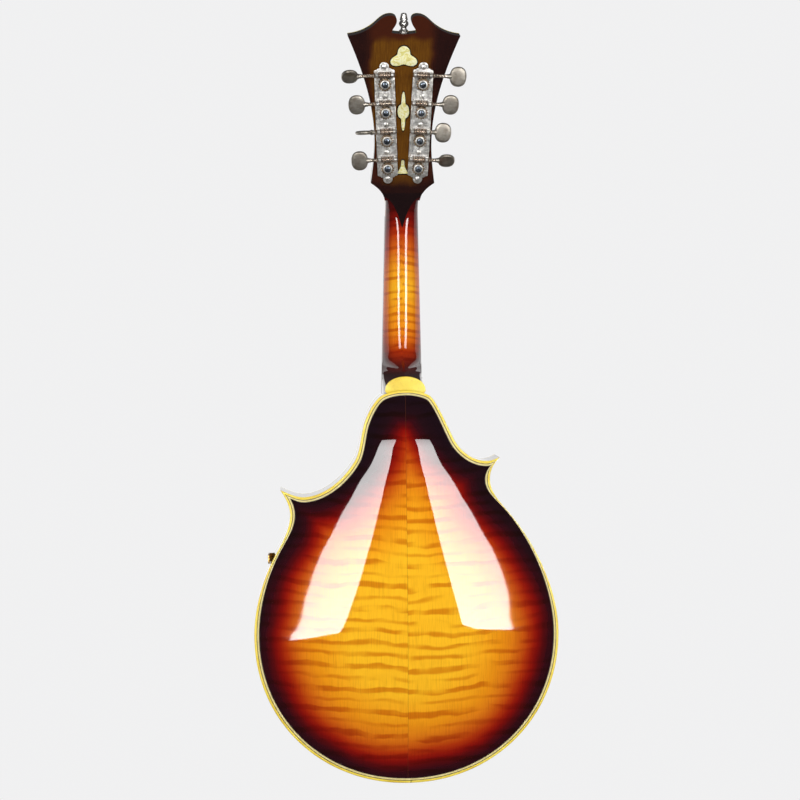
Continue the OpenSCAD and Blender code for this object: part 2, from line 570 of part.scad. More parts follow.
// each tooth: angle from its middle and radius
tooth = [[-9.5, 4.6], [-2.6, 5.5], [2.6, 5.5], [9.5, 4.6]];
function gear_poly() = [for (i = [0 : gear_teeth - 1])
  let (a = 90 + (i + 0.5) * 360 / gear_teeth)
  for (q = tooth) [q[1] * cos(a + q[0]), q[1] * sin(a + q[0])]];
module string_post(side, i) {
  in_head() strip_place(side) translate([0, 0, post_z[i]]) difference() {
    union() {
      ybar(0, 0, WY - 1.3, 1.4, POST_R, 32);
      ybar(0, 0, 1.4, 12.6, POST_TOP, 32);
      ybar(0, 0, 12.6, 13.5, POST_TOP + 0.35, 32);
      ybar(0, 0, WY + 1.3, PY - 0.15, 3.9, 32);
      slab(gear_poly(), WY - 1.3, WY + 1.3);
      ybar(0, 0, WY - 2.6, WY - 1.3, 3.0, 32);
    }
    translate([0, 8.5, 0]) rotate([0, 90, 0]) cylinder(h = 10, r = 0.8, center = true, $fn = 16);
    translate([-4, WY - 3.4, -0.35]) cube([8, 1.4, 0.7]);
  }
}
module string_post_1() color([0.7, 0.62, 0.42]) string_post(1, 0);
module string_post_2() color([0.7, 0.62, 0.42]) string_post(1, 1);
module string_post_3() color([0.7, 0.62, 0.42]) string_post(1, 2);
module string_post_4() color([0.7, 0.62, 0.42]) string_post(1, 3);
module string_post_5() color([0.7, 0.62, 0.42]) string_post(-1, 0);
module string_post_6() color([0.7, 0.62, 0.42]) string_post(-1, 1);
module string_post_7() color([0.7, 0.62, 0.42]) string_post(-1, 2);
module string_post_8() color([0.7, 0.62, 0.42]) string_post(-1, 3);

// ---------------------------------------------------------------- strings
function rx(a, p) = [p[0], p[1] * cos(a) - p[2] * sin(a), p[1] * sin(a) + p[2] * cos(a)];
bridge_z = -356;
saddle_top = 35.2;
function post_at(side, i) =
  [side * (strip_x + post_z[i] * sin(splay)), 0, strip_z + post_z[i] * cos(splay)];
hook_z = -424.9;
hook_y = 16.4;
// a string bar, kept short of its ends so that neighbours only just part at a bend
module pull(a, b, r, ea, eb) {
  u = (b - a) / norm(b - a);
  bar(a + u * ea, b - u * eb, r, 16);
}
// side, post index, x at nut, x at saddle, x at hook, radius
module string_run(side, i, xn, xb, xh, r) {
  p = post_at(side, i);
  a = rx(HEAD, [p[0] - side * (POST_TOP + r + 0.15), i % 2 == 1 ? 4.2 : 7.6, p[2]]);
  n1 = rx(BETA, [xn, nut_top + r + 0.02, -2.2]);
  n2 = rx(BETA, [xn, nut_top + r + 0.02, -nut_len]);
  s1 = [xb, saddle_top + r + 0.03, bridge_z + 1.8];
  s2 = [xb, saddle_top + r + 0.03, bridge_z - 1.8];
  h = [xh, hook_y, hook_z];
  pull(a, n1, r, 0, 0.02 + 0.12 * r);
  pull(n1, n2, r, 0.02 + 0.12 * r, 0.03);
  pull(n2, s1, r, 0.03, 0.02 + 0.04 * r);
  pull(s1, s2, r, 0.02 + 0.04 * r, 0.02 + 0.15 * r);
  pull(s2, h, r, 0.02 + 0.15 * r, 0);
}
module strings_g() color([0.72, 0.52, 0.3]) {
  string_run(1, 3, 10.6, 20.3, 15.9, 0.5);
  string_run(1, 2, 8.1, 17.7, 13.5, 0.5);
}
module strings_d() color([0.72, 0.52, 0.3]) {
  string_run(1, 1, 4.4, 7.6, 6.5, 0.36);
  string_run(1, 0, 2.1, 5.0, 4.1, 0.36);
}
module strings_a() color([0.8, 0.8, 0.78]) {
  string_run(-1, 1, -4.4, -7.6, -6.5, 0.2);
  string_run(-1, 0, -2.1, -5.0, -4.1, 0.2);
}
module strings_e() color([0.8, 0.8, 0.78]) {
  string_run(-1, 3, -10.6, -20.3, -15.9, 0.15);
  string_run(-1, 2, -8.1, -17.7, -13.5, 0.15);
}

// ---------------------------------------------------------------- bridge
function top_y(x) = height(x, bridge_z + 4.5, top_arch);
post_x = 25;
module bridge_base() color([0.1, 0.07, 0.05]) difference() {
  zprism(concat(
    [for (x = [-56 : 4 : -20]) [x, top_y(x) + 0.12]],
    [[-14, 17.6], [14, 17.6]],
    [for (x = [20 : 4 : 56]) [x, top_y(x) + 0.12]],
    [[57, 12.6], [50, 15.6], [36, 19.6], [30, 21.4], [-30, 21.4], [-36, 19.6], [-50, 15.6], [-57, 12.6]]),
    bridge_z - 4.5, bridge_z + 4.5);
  for (s = [-1, 1]) ybar(s * post_x, bridge_z, 16.5, 30, 2, 24);
}
module bridge_posts() color([0.72, 0.6, 0.3]) for (s = [-1, 1]) ybar(s * post_x, bridge_z, 16.5, 31, 2, 24);
module wheel(s) difference() {
  ybar(s * post_x, bridge_z, 23.2, 25.9, 5.5, 40);
  ybar(s * post_x, bridge_z, 22, 27, 2 + run, 24);
  // grip notches round the rim
  for (k = [0 : 11])
    translate([s * post_x, 26.5, bridge_z]) rotate([0, k * 30, 0]) translate([5.6, 0, 0])
      rotate([90, 0, 0]) cylinder(h = 4, r = 0.5, $fn = 8);
}
module thumbwheel_bass() color([0.78, 0.66, 0.34]) wheel(1);
module thumbwheel_treble() color([0.78, 0.66, 0.34]) wheel(-1);
module bridge_saddle() color([0.12, 0.08, 0.06]) difference() {
  zprism([
    [-30, 26], [30, 26], [30.5, 29], [26, 33], [22.5, saddle_top],
    [-22.5, saddle_top], [-26, 33], [-30.5, 29]], bridge_z - 2.9, bridge_z + 2.9);
  for (s = [-1, 1]) ybar(s * post_x, bridge_z, 20, 32.6, 2 + run, 24);
  // slopes that leave a narrow crown for the strings
  for (s = [-1, 1])
    xprism([[32, bridge_z + s * 3.4], [36, bridge_z + s * 3.4], [36, bridge_z + s * 1.3]], -40, 40);
}

// ---------------------------------------------------------------- tailpiece
module tailpiece_base() color([0.76, 0.74, 0.7]) {
  difference() {
    xprism([
      [-33, -473.7], [-33, -472.62], [0.05, -472.62], [1.2, -471.5], [14.2, -424],
      [13.2, -422.6], [15.2, -422.4], [15.6, -424.2], [2.2, -472.6], [0.6, -473.7]], -17, 17);
    for (x = [-9, 9]) translate([x, -22, -480]) cylinder(h = 12, r = 1.5, $fn = 20);
  }
  for (x = [-14.7, -5.3, 5.3, 14.7]) difference() {
    translate([x - 0.9, 13.4, -427.2]) cube([1.8, 3.6, 1.4]);
    translate([-30, 10, -426.4]) rotate([-15.4, 0, 0]) translate([0, -4, -8]) cube([60, 4.2, 16]);
  }
}
module tailpiece_screws() color([0.7, 0.68, 0.62]) for (x = [-9, 9]) {
  translate([x, -22, -473.7]) cylinder(h = 1.08, r = 1.5, $fn = 20);
  translate([x, -22, -474.8]) cylinder(h = 1.1, r = 3, $fn = 24);
}
module tailpiece_cover() color([0.8, 0.78, 0.74]) difference() {
  xprism([
    [0.9, -474.9], [4.4, -475.4], [7.2, -472], [22.8, -417], [22.6, -415.6],
    [16.6, -415.6], [12.6, -422], [10.6, -438], [3, -456], [0.9, -466]], -19.4, 19.4);
  xprism([
    [-2, -474.1], [3.5, -474.1], [5.6, -471.4],
    [21.4, -416.6], [21.4, -410], [-2, -410]], -18.2, 18.2);
}

// ---------------------------------------------------------------- pickguard
module pickguard() color([0.12, 0.06, 0.05]) {
  slab([
    [-19, -214], [-30, -212], [-50, -222], [-60, -244], [-58, -282],
    [-46, -316], [-26, -330], [-23, -322], [-24, -290], [-21.6, -258]], 21.6, 23.4);
}
module pickguard_bracket() color([0.85, 0.65, 0.3])
  zprism([
    [-113.6, -17], [-112.1, -17], [-112.1, 1], [-50, 19.9],
    [-50, 21.55], [-52, 21.55], [-113.6, 2.8]], -293.5, -286.5);

// ---------------------------------------------------------------- pieces
back_plate_bass();
back_plate_treble();
top_plate_bass();
top_plate_treble();
upper_bass_rib();
lower_bass_rib();
upper_treble_rib();
lower_treble_rib();
body_blocks();
linings();
tone_bars();
back_binding();
top_binding();
back_purfling();
top_purfling();
neck();
heel_cap();
fingerboard();
frets();
position_inlays();
nut();
head_face_veneer();
head_back_veneer();
head_binding();
head_back_inlays();
finial();
tuner_plate_bass();
tuner_plate_treble();
tuner_bushings();
tuner_plate_screws();
tuner_key_1();
tuner_key_2();
tuner_key_3();
tuner_key_4();
tuner_key_5();
tuner_key_6();
tuner_key_7();
tuner_key_8();
string_post_1();
string_post_2();
string_post_3();
string_post_4();
string_post_5();
string_post_6();
string_post_7();
string_post_8();
strings_g();
strings_d();
strings_a();
strings_e();
bridge_base();
bridge_posts();
thumbwheel_bass();
thumbwheel_treble();
bridge_saddle();
tailpiece_base();
tailpiece_cover();
tailpiece_screws();
pickguard();
pickguard_bracket();
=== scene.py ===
"""A carved two-point mandolin in sunburst maple, hung by its headstock and seen from the back.

Shapes are worked out in millimetres, in the frame of the CAD model: +Z runs up the neck, +X is the
bass side, +Y is the string side. Meshes are turned into metres when they are built.
"""

import json
import math

import bmesh
import bpy
import numpy as np
from mathutils import Matrix, Vector
from mathutils.geometry import delaunay_2d_cdt


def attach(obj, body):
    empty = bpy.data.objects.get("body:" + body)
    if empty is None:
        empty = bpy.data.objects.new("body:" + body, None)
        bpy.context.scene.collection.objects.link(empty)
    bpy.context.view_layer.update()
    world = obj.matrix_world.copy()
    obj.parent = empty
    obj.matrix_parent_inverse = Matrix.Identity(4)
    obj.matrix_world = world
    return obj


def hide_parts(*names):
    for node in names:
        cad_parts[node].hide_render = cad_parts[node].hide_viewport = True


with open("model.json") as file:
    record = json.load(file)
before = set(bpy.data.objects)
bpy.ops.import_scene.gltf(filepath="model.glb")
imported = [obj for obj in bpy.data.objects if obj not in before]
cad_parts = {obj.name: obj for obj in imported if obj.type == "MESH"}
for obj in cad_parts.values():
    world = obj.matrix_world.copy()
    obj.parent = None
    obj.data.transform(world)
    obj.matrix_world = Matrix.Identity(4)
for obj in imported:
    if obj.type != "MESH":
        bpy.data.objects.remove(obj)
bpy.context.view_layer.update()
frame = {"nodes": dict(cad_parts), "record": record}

MM = 0.001
ROOT = "instrument"
SHARP = math.radians(34.0)  # edges of CAD pieces that turn more than this get broken

# ------------------------------------------------------------------ driving sizes, in millimetres
BACK_Y = -45.0  # outer edge of the back
TOP_RISE, BACK_RISE = 15.0, 14.0
PLATE_EDGE, PLATE_THICK = 4.5, 4.0
RIB = 2.0
BINDING_HIGH = 6.4
PURFLING_IN, PURFLING_DEEP = 4.4, 1.8
NECK_ANGLE, HEAD_ANGLE = math.radians(4.2), math.radians(18.2)
HEAD_THICK, FACE_VENEER, BACK_VENEER = 15.0, 1.5, 1.0
STRIP_X, STRIP_Z, SPLAY = 14.1, 77.0, math.radians(2.35)
POST_PITCH = 23.15
POST_Z = [1.5 * POST_PITCH - 2.2 - k * POST_PITCH for k in range(4)]
WORM_OFFSET, WORM_LEAD = 7.5, 2.2
PLATE_Y = -HEAD_THICK - 1.2
WORM_Y = PLATE_Y - 3.0
EAR_IN, EAR_OUT = 5.3, 7.5
REACH = (28.2, 23.4, 18.6, 22.8)
TURNS = (0, 4, 0, 43, 43, 8, 78, 6)
NUT_LEN, NUT_TOP = 4.8, 6.1
NECK_HALF, NECK_FLARE = 13.75, 0.0225  # half width at the nut, and its growth down the neck
POST_HOLE, BUSHING_HOLE, GEAR_HOLE, SCREW_HOLE = 3.6, 4.4, 3.15, 1.35
BRIDGE_Z, SADDLE_TOP = -356.0, 35.2
HOOK_Y, HOOK_Z = 16.4, -424.9

IN_NECK = Matrix.Rotation(NECK_ANGLE, 4, "X")
IN_HEAD = Matrix.Rotation(HEAD_ANGLE, 4, "X")
TO_Y = Matrix.Rotation(-math.pi / 2, 4, "X")  # a turned shape's own axis laid along +Y
TO_X = Matrix.Rotation(math.pi / 2, 4, "Y")  # and along +X


def move(x, y, z):
    return Matrix.Translation((x, y, z))


def strip_frame(side):
    """The frame of a tuner strip: +X outward, +Z up the strip."""
    local = move(STRIP_X, 0, STRIP_Z) @ Matrix.Rotation(SPLAY, 4, "Y")
    return IN_HEAD @ Matrix.Diagonal((side, 1, 1, 1)) @ local


# ------------------------------------------------------------------ shells
class Shell:
    """Closed surfaces, in millimetres, gathered for one mesh."""

    def __init__(self):
        self.points, self.faces, self.kinds = [], [], []

    def add(self, surface, matrix=None, kind=0):
        points, faces = surface
        base = len(self.points)
        if matrix is not None:
            points = [matrix @ Vector(p) for p in points]
        self.points += [tuple(p) for p in points]
        self.faces += [[base + i for i in f] for f in faces]
        self.kinds += list(kind) if hasattr(kind, "__len__") else [kind] * len(faces)
        return self


def loft(rows, around=True, along=False):
    """Quads between rows of points. A row of one point is a pole, and open ends get flat caps."""
    points, faces, starts = [], [], []
    for row in rows:
        starts.append(len(points))
        points += [tuple(p) for p in row]
    count = len(rows)
    for a in range(count if along else count - 1):
        b = (a + 1) % count
        na, nb = len(rows[a]), len(rows[b])
        n = max(na, nb)
        for i in range(n if around else n - 1):
            j = (i + 1) % n
            corners = ((a, na, i), (a, na, j), (b, nb, j), (b, nb, i))
            quad = [starts[row] + (k if size > 1 else 0) for row, size, k in corners]
            faces.append(list(dict.fromkeys(quad)))
    if not along:
        for row, start in ((rows[0], starts[0]), (rows[-1], starts[-1])):
            if len(row) > 2:
                faces.append([start + i for i in range(len(row))])
    return points, faces


def circle(r, h, n):
    if r == 0:
        return [(0, 0, h)]
    return [(r * math.cos(a), r * math.sin(a), h) for a in (2 * math.pi * i / n for i in range(n))]


def lathe(profile, n=40):
    """A turned shape round its own Z axis, from (radius, height) pairs."""
    return loft([circle(r, h, n) for r, h in profile])


def rounded_bar(r, h0, h1, edge, n=32):
    """A round bar with softened ends."""
    steps = [(math.sin(a), math.cos(a)) for a in (math.pi / 2 * k / 3 for k in range(4))]
    low = [(r - edge + edge * s, h0 + edge - edge * c) for s, c in steps]
    high = [(r - edge + edge * s, h1 - edge + edge * c) for s, c in reversed(steps)]
    return lathe([(0, h0)] + low + high + [(0, h1)], n)


def weld(points, faces, reach=0.0004):
    """The same surface with points that fall together made one."""
    seen, index, kept = {}, [], []
    for p in points:
        key = tuple(round(c / reach) for c in p)
        if key not in seen:
            seen[key] = len(kept)
            kept.append(tuple(p))
        index.append(seen[key])
    clean = []
    for f in faces:
        g = list(dict.fromkeys(index[i] for i in f))
        if len(g) > 2:
            clean.append(g)
    return kept, clean


def slab(outer, holes, y0, y1, edge=0.0, steps=2):
    """A plane figure in X and Z with holes, from y0 up to y1, its edges rounded."""
    curve = bpy.data.curves.new("outline", "CURVE")
    curve.dimensions = "2D"
    curve.fill_mode = "BOTH"
    curve.bevel_depth = edge
    curve.bevel_resolution = steps
    curve.offset = -edge
    curve.extrude = (y1 - y0) / 2 - edge
    for loop in [outer, *holes]:
        spline = curve.splines.new("POLY")
        spline.points.add(len(loop) - 1)
        spline.points.foreach_set("co", [c for x, z in loop for c in (x, z, 0, 1)])
        spline.use_cyclic_u = True
    holder = bpy.data.objects.new("outline", curve)
    mesh = bpy.data.meshes.new_from_object(holder)
    middle = (y0 + y1) / 2
    points = [(v.co.x, middle - v.co.z, v.co.y) for v in mesh.vertices]
    faces = [list(p.vertices) for p in mesh.polygons]
    bpy.data.objects.remove(holder)
    bpy.data.curves.remove(curve)
    bpy.data.meshes.remove(mesh)
    return weld(points, faces)


def disc(x, z, r, n=32):
    return [(x + r * math.cos(a), z + r * math.sin(a)) for a in (2 * math.pi * i / n for i in range(n))]


def tube(path, r, n=12, end=0.3):
    """A round wire along a path of points, with softened ends."""
    path = [Vector(p) for p in path]
    angles = [2 * math.pi * k / n for k in range(n)]
    rows, normal = [], None
    for i, p in enumerate(path):
        before, after = path[max(0, i - 1)], path[min(len(path) - 1, i + 1)]
        ahead = (after - before).normalized()
        if normal is None:
            normal = ahead.orthogonal().normalized()
        normal = (normal - ahead * normal.dot(ahead)).normalized()
        across = ahead.cross(normal)
        rows.append([p + r * (math.cos(a) * normal + math.sin(a) * across) for a in angles])
    first, last = path[0], path[-1]
    nose = (path[0] - path[1]).normalized() * r * end
    tail = (path[-1] - path[-2]).normalized() * r * end
    return loft([[first + nose]] + rows + [[last + tail]])


def mesh_of(name, points, faces, scale=MM):
    """A mesh whose faces all look outward."""
    mesh = bpy.data.meshes.new(name)
    mesh.from_pydata([tuple(c * scale for c in p) for p in points], [], faces)
    work = bmesh.new()
    work.from_mesh(mesh)
    bmesh.ops.recalc_face_normals(work, faces=work.faces)
    work.to_mesh(mesh)
    work.free()
    return mesh


def add_object(name, data):
    obj = bpy.data.objects.new(name, data)
    bpy.context.scene.collection.objects.link(obj)
    return obj


def finished(name, mesh, looks, body, slot, stands_for, smooth=None):
    """The object of a finished piece, riding on its body."""
    for look in looks if isinstance(looks, (list, tuple)) else [looks]:
        mesh.materials.append(look)
    mesh.shade_smooth()
    if smooth:
        mesh.set_sharp_from_angle(angle=math.radians(smooth))
    obj = add_object(name, mesh)
    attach(obj, body)
    if stands_for:
        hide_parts(*stands_for)


def combine(first, others, how):
    """An exact union or difference of closed surfaces."""
    solids = [add_object("temporary", mesh_of("temporary", *surface, 1)) for surface in (first, *others)]
    base, *tools = solids
    for tool in tools:
        modifier = base.modifiers.new("cut", "BOOLEAN")
        modifier.operation = how
        modifier.solver = "EXACT"
        modifier.object = tool
    bpy.context.view_layer.update()
    depsgraph = bpy.context.evaluated_depsgraph_get()
    mesh = bpy.data.meshes.new_from_object(base.evaluated_get(depsgraph))
    points = [tuple(v.co) for v in mesh.vertices]
    faces = [list(p.vertices) for p in mesh.polygons]
    for obj in solids:
        data = obj.data
        bpy.data.objects.remove(obj)
        bpy.data.meshes.remove(data)
    bpy.data.meshes.remove(mesh)
    return points, faces


def build(name, shell, looks, body, slot, stands_for=(), smooth=35.0):
    """One finished piece in millimetres, as a mesh in metres that rides on a body."""
    mesh = mesh_of(name, shell.points, shell.faces)
    mesh.polygons.foreach_set("material_index", shell.kinds)
    finished(name, mesh, looks, body, slot, stands_for, smooth)


NODE_BODY = {node: body for body, nodes in frame["record"]["behaviour"]["bodies"].items() for node in nodes}


def refine(node, look, slot, edge=0.25, segments=2):
    """The CAD node's own shape with its edges broken, as a piece that stands for the node."""
    work = bmesh.new()
    work.from_mesh(frame["nodes"][node].data)
    bmesh.ops.remove_doubles(work, verts=work.verts, dist=1e-6)
    bmesh.ops.dissolve_limit(work, angle_limit=math.radians(1.0), verts=work.verts, edges=work.edges)
    if edge:
        sharp = [e for e in work.edges if len(e.link_faces) == 2 and e.calc_face_angle(0) > SHARP]
        bmesh.ops.bevel(work, geom=sharp, offset=edge * MM, offset_type="OFFSET", segments=segments,
                        profile=0.5, affect="EDGES", clamp_overlap=True)
    bmesh.ops.triangulate(work, faces=[f for f in work.faces if len(f.verts) > 4])
    bmesh.ops.recalc_face_normals(work, faces=work.faces)
    mesh = bpy.data.meshes.new(node + "_finished")
    work.to_mesh(mesh)
    work.free()
    finished(node + "_finished", mesh, look, NODE_BODY[node], slot, [node], 30)


# ------------------------------------------------------------------ materials
def linear(colour):
    """Scene-linear light from a colour in display steps of 0 to 255; four numbers are linear already."""
    if len(colour) == 4:
        return colour
    steps = (c / 255 for c in colour)
    return tuple(c / 12.92 if c <= 0.04045 else ((c + 0.055) / 1.055) ** 2.4 for c in steps) + (1.0,)


class Value:
    """What a node gives out, so that sums of nodes are written as sums."""

    def __init__(self, look, socket):
        self.look, self.socket = look, socket

    def __add__(self, other):
        return self.look.math("ADD", self, other)

    def __sub__(self, other):
        return self.look.math("SUBTRACT", self, other)

    def __rsub__(self, other):
        return self.look.math("SUBTRACT", other, self)

    def __mul__(self, other):
        return self.look.math("MULTIPLY", self, other)

    def __truediv__(self, other):
        return self.look.math("DIVIDE", self, other)

    def __gt__(self, other):
        return self.look.math("GREATER_THAN", self, other)

    def __lt__(self, other):
        return self.look.math("LESS_THAN", self, other)

    def __abs__(self):
        return self.look.math("ABSOLUTE", self)

    def sine(self):
        return self.look.math("SINE", self)

    def clamped(self):
        return self.look.math("ADD", self, 0.0, clamp=True)

    def span(self, low, high):
        """0 at low, 1 at high, smooth between."""
        return self.look.node("MapRange", {0: self, 1: low, 2: high}, interpolation_type="SMOOTHSTEP")


class Look:
    """A node material with a principled shader."""

    def __init__(self, name, **constants):
        self.material = bpy.data.materials.new(name)
        self.material.use_nodes = True
        self.tree = self.material.node_tree
        self.tree.nodes.clear()
        self.shader = self.tree.nodes.new("ShaderNodeBsdfPrincipled")
        out = self.tree.nodes.new("ShaderNodeOutputMaterial")
        self.tree.links.new(self.shader.outputs[0], out.inputs[0])
        self.set(**constants)

    def put(self, socket, value):
        if isinstance(value, Value):
            self.tree.links.new(value.socket, socket)
        else:
            socket.default_value = linear(value) if isinstance(value, tuple) else value

    def set(self, **values):
        for key, value in values.items():
            self.put(self.shader.inputs[key.replace("_", " ")], value)
        return self.material

    def node(self, kind, inputs=None, out=0, **settings):
        made = self.tree.nodes.new("ShaderNode" + kind)
        for key, value in settings.items():
            setattr(made, key, value)
        for key, value in (inputs or {}).items():
            self.put(made.inputs[key], value)
        return Value(self, made.outputs[out])

    def math(self, operation, a, b=0.0, clamp=False):
        return self.node("Math", {0: a, 1: b}, operation=operation, use_clamp=clamp)

    def attribute(self, name):
        return self.node("Attribute", out=2, attribute_name=name)

    def place(self):
        """Object coordinates in millimetres: x, y and z."""
        scaled = self.node("VectorMath", {0: self.node("TexCoord", out=3), 3: 1000.0}, operation="SCALE")
        split = self.node("SeparateXYZ", {0: scaled}).socket.node
        return [Value(self, part) for part in split.outputs]

    def noise(self, x, y, z, scale=1.0, detail=2.0, rough=0.5, distortion=0.0):
        spot = self.node("CombineXYZ", {0: x, 1: y, 2: z})
        inputs = {"Vector": spot, "Scale": scale, "Detail": detail, "Roughness": rough}
        return self.node("TexNoise", {**inputs, "Distortion": distortion})

    def waves(self, x, y, z, scale, direction, profile="SIN", **details):
        inputs = {"Vector": self.node("CombineXYZ", {0: x, 1: y, 2: z}), "Scale": scale}
        inputs.update({key.replace("_", " "): value for key, value in details.items()})
        return self.node("TexWave", inputs, out=1, bands_direction=direction, wave_profile=profile)

    def ramp(self, factor, stops):
        made = self.node("ValToRGB", {0: factor})
        bar = made.socket.node.color_ramp
        bar.elements.remove(bar.elements[-1])
        bar.elements[0].position, bar.elements[0].color = stops[0][0], linear(stops[0][1])
        for position, colour in stops[1:]:
            bar.elements.new(position).color = linear(colour)
        return made

    def curve(self, factor, stops):
        """A number as a function of another, from (place, value) pairs."""
        return self.ramp(factor, [(p, (v, v, v, 1)) for p, v in stops])

    def mix(self, factor, a, b, blend="MIX"):
        return self.node("Mix", {0: factor, 6: a, 7: b}, out=2, data_type="RGBA", blend_type=blend)

    def stain(self, factor, a, b):
        return self.mix(factor, a, b, "MULTIPLY")

    def bump(self, height, distance, strength):
        return self.node("Bump", {"Height": height, "Distance": distance, "Strength": strength})


LACQUER = dict(Roughness=0.6, Specular_IOR_Level=0.0, Coat_Weight=1.0, Coat_Roughness=0.025, Coat_IOR=1.52)
# the burst's colours by distance in from the edge, in tenths of a metre
BURST = (
    (0.00, (24, 7, 15)), (0.08, (32, 8, 15)), (0.14, (52, 5, 14)), (0.19, (86, 5, 8)), (0.23, (124, 9, 4)),
    (0.265, (148, 24, 3)), (0.31, (176, 52, 6)), (0.37, (200, 90, 12)), (0.44, (222, 124, 18)),
    (0.53, (234, 146, 18)), (0.66, (246, 168, 27)), (0.82, (252, 188, 34)))
NECK_MIDDLE = (
    (0.00, (34, 12, 12)), (0.10, (70, 5, 6)), (0.17, (132, 18, 4)), (0.22, (176, 48, 8)),
    (0.30, (214, 104, 24)), (0.38, (236, 152, 30)), (0.48, (248, 180, 36)), (0.56, (242, 158, 26)),
    (0.66, (236, 140, 22)), (0.72, (212, 100, 14)), (0.765, (160, 44, 6)), (0.82, (96, 22, 12)),
    (0.88, (44, 12, 14)), (1.0, (28, 8, 14)))
NECK_FLANK = (
    (0.00, (26, 10, 12)), (0.20, (96, 8, 6)), (0.30, (150, 32, 8)), (0.42, (196, 92, 12)),
    (0.58, (190, 84, 10)), (0.70, (150, 44, 6)), (0.80, (60, 12, 12)), (1.0, (26, 8, 14)))
# half the width of the dark tongue as a share of 20 mm, over 28 mm of height
TONGUE = ((0.0, 0.0), (0.18, 0.085), (0.36, 0.16), (0.54, 0.27), (0.69, 0.38), (0.85, 0.58), (1.0, 1.0))


def flame(look, x, z, slant, spacing, side_shift, warp=5.0):
    """Curl across the wood: 0 in the dark bands, 1 in the bright ones."""
    mirrored, bass = abs(x), x > 0.0
    leaning = mirrored * slant + (bass * side_shift + z)
    seed = bass * 3.7
    slow = look.noise(mirrored * 0.022, seed, z * 0.03)
    quick = look.noise(mirrored * 0.075, seed, z * 0.13, detail=1.0)
    wavy = quick * (warp * 0.5) + (slow * (warp * 2.4) + leaning)
    wave = (wavy * (2 * math.pi / spacing)).sine()
    second = ((quick * warp + wavy) * (3.4 / spacing)).sine()
    bands = (second * 0.45 + wave).span(-1.05, 0.25)
    strength = look.noise(mirrored * 0.04, seed + 9.0, z * 0.09, detail=1.0)
    return ((bands - 0.9) * strength.span(0.28, 0.60) + 0.9).clamped()


def figured(look, wood, bands, fibre, dark, bright, grain, amount):
    """Wood coloured darker and brighter by its curl, with fine darker fibres."""
    curled = look.mix(bands, look.stain(1.0, wood, dark), look.stain(1.0, wood, bright))
    return look.stain(fibre.span(0.45, 0.7) * amount, curled, grain)


def maple_back():
    look = Look("flamed_maple_back", **LACQUER)
    x, _, z = look.place()
    uneven = (look.noise(x, 0.0, z, scale=0.022) - 0.5) * 9.0 + look.attribute("edge")
    widened = z.span(-250.0, -310.0) * 5.0 + uneven
    narrowed = z.span(-245.0, -165.0) * -10.0 + widened
    bands = flame(look, x, z, -0.06, 9.4, 2.2)
    fibre = look.noise(x * 1.9, 0.0, z * 0.05, detail=3.0, rough=0.6)
    wood = figured(look, look.ramp(narrowed / 100.0, BURST), bands, fibre, (0.74, 0.50, 0.28, 1),
                   (1.06, 1.08, 1.15, 1), (0.45, 0.20, 0.03, 1), 0.30)
    joined = look.mix((abs(x) < 0.14) * 0.55, wood, (0.10, 0.03, 0.01, 1))
    return look.set(Base_Color=joined, Normal=look.bump(bands * 0.5 + fibre * 0.5, 0.00012, 0.35))


def spruce_top():
    look = Look("spruce_top", **LACQUER)
    x, _, z = look.place()
    shifted = (look.noise(x, 4.0, z, scale=0.02) - 0.5) * 8.0 + look.attribute("edge")
    sway = look.noise(x * 0.05, 2.0, z * 0.006, detail=1.0)
    rings = look.waves(sway * 6.0 + abs(x), 0.0, z * 0.004, 0.28, "X", "SAW", Distortion=1.2, Detail=2.0,
                       Detail_Scale=1.4)
    late = rings.span(0.55, 1.0)
    lined = look.stain(late * 0.55, look.ramp(shifted / 100.0, BURST), (0.50, 0.27, 0.09, 1))
    silk = look.noise(x * 0.35, 0.0, z * 1.1)
    wood = look.stain(silk.span(0.5, 0.75) * 0.35, lined, (1.35, 1.3, 1.2, 1))
    return look.set(Base_Color=wood, Normal=look.bump(late, 0.00004, 0.05))


def maple_neck():
    look = Look("flamed_maple_neck", **LACQUER)
    x, y, z = look.place()
    down = ((20.0 - z) / 180.0).clamped()
    across = abs(x) / (z * -NECK_FLARE + NECK_HALF)
    body = look.mix(across.span(0.45, 0.95), look.ramp(down, NECK_MIDDLE), look.ramp(down, NECK_FLANK))
    bands = flame(look, x, z, 0.18, 6.2, 0.0, 3.0)
    fibre = look.noise(x * 2.2, y * 2.2, z * 0.05, detail=3.0)
    wood = figured(look, body, bands, fibre, (0.72, 0.46, 0.24, 1),
                   (1.06, 1.08, 1.1, 1), (0.45, 0.2, 0.04, 1), 0.2)
    # the black tongue that runs down from the headstock's back veneer to a point
    width = look.curve(((z + 15.6) / 28.0).clamped(), TONGUE) * 20.0
    tongue = look.math("MAXIMUM", abs(x) < width, z > 12.4) * (y < -6.0)
    # the worn spots beside the nut
    spot = abs(abs(x) - 14.5).span(1.6, 0.4) * abs(z + 1.0).span(4.5, 1.5)
    rubbed = spot * look.noise(x, y, z, scale=0.35).span(0.4, 0.55)
    finished = look.mix(rubbed, look.mix(tongue, wood, (26, 12, 13)), (214, 120, 48))
    return look.set(Base_Color=finished, Normal=look.bump(bands + fibre, 0.0001, 0.3))


def dark_lacquer(name, warm, cold):
    """Nearly black stained wood with a trace of figure under gloss lacquer."""
    look = Look(name, **LACQUER)
    x, y, z = look.place()
    figure = look.noise(x * 0.4, y * 0.35, z * 0.4, scale=0.2, detail=3.0, distortion=0.4)
    bands = look.noise(x * 0.12, y * 0.02, z * 0.12, detail=1.0)
    both = bands * 0.6 + figure * 0.4
    return look.set(Base_Color=look.ramp(both.span(0.35, 0.65), [(0, cold), (1, warm)]))


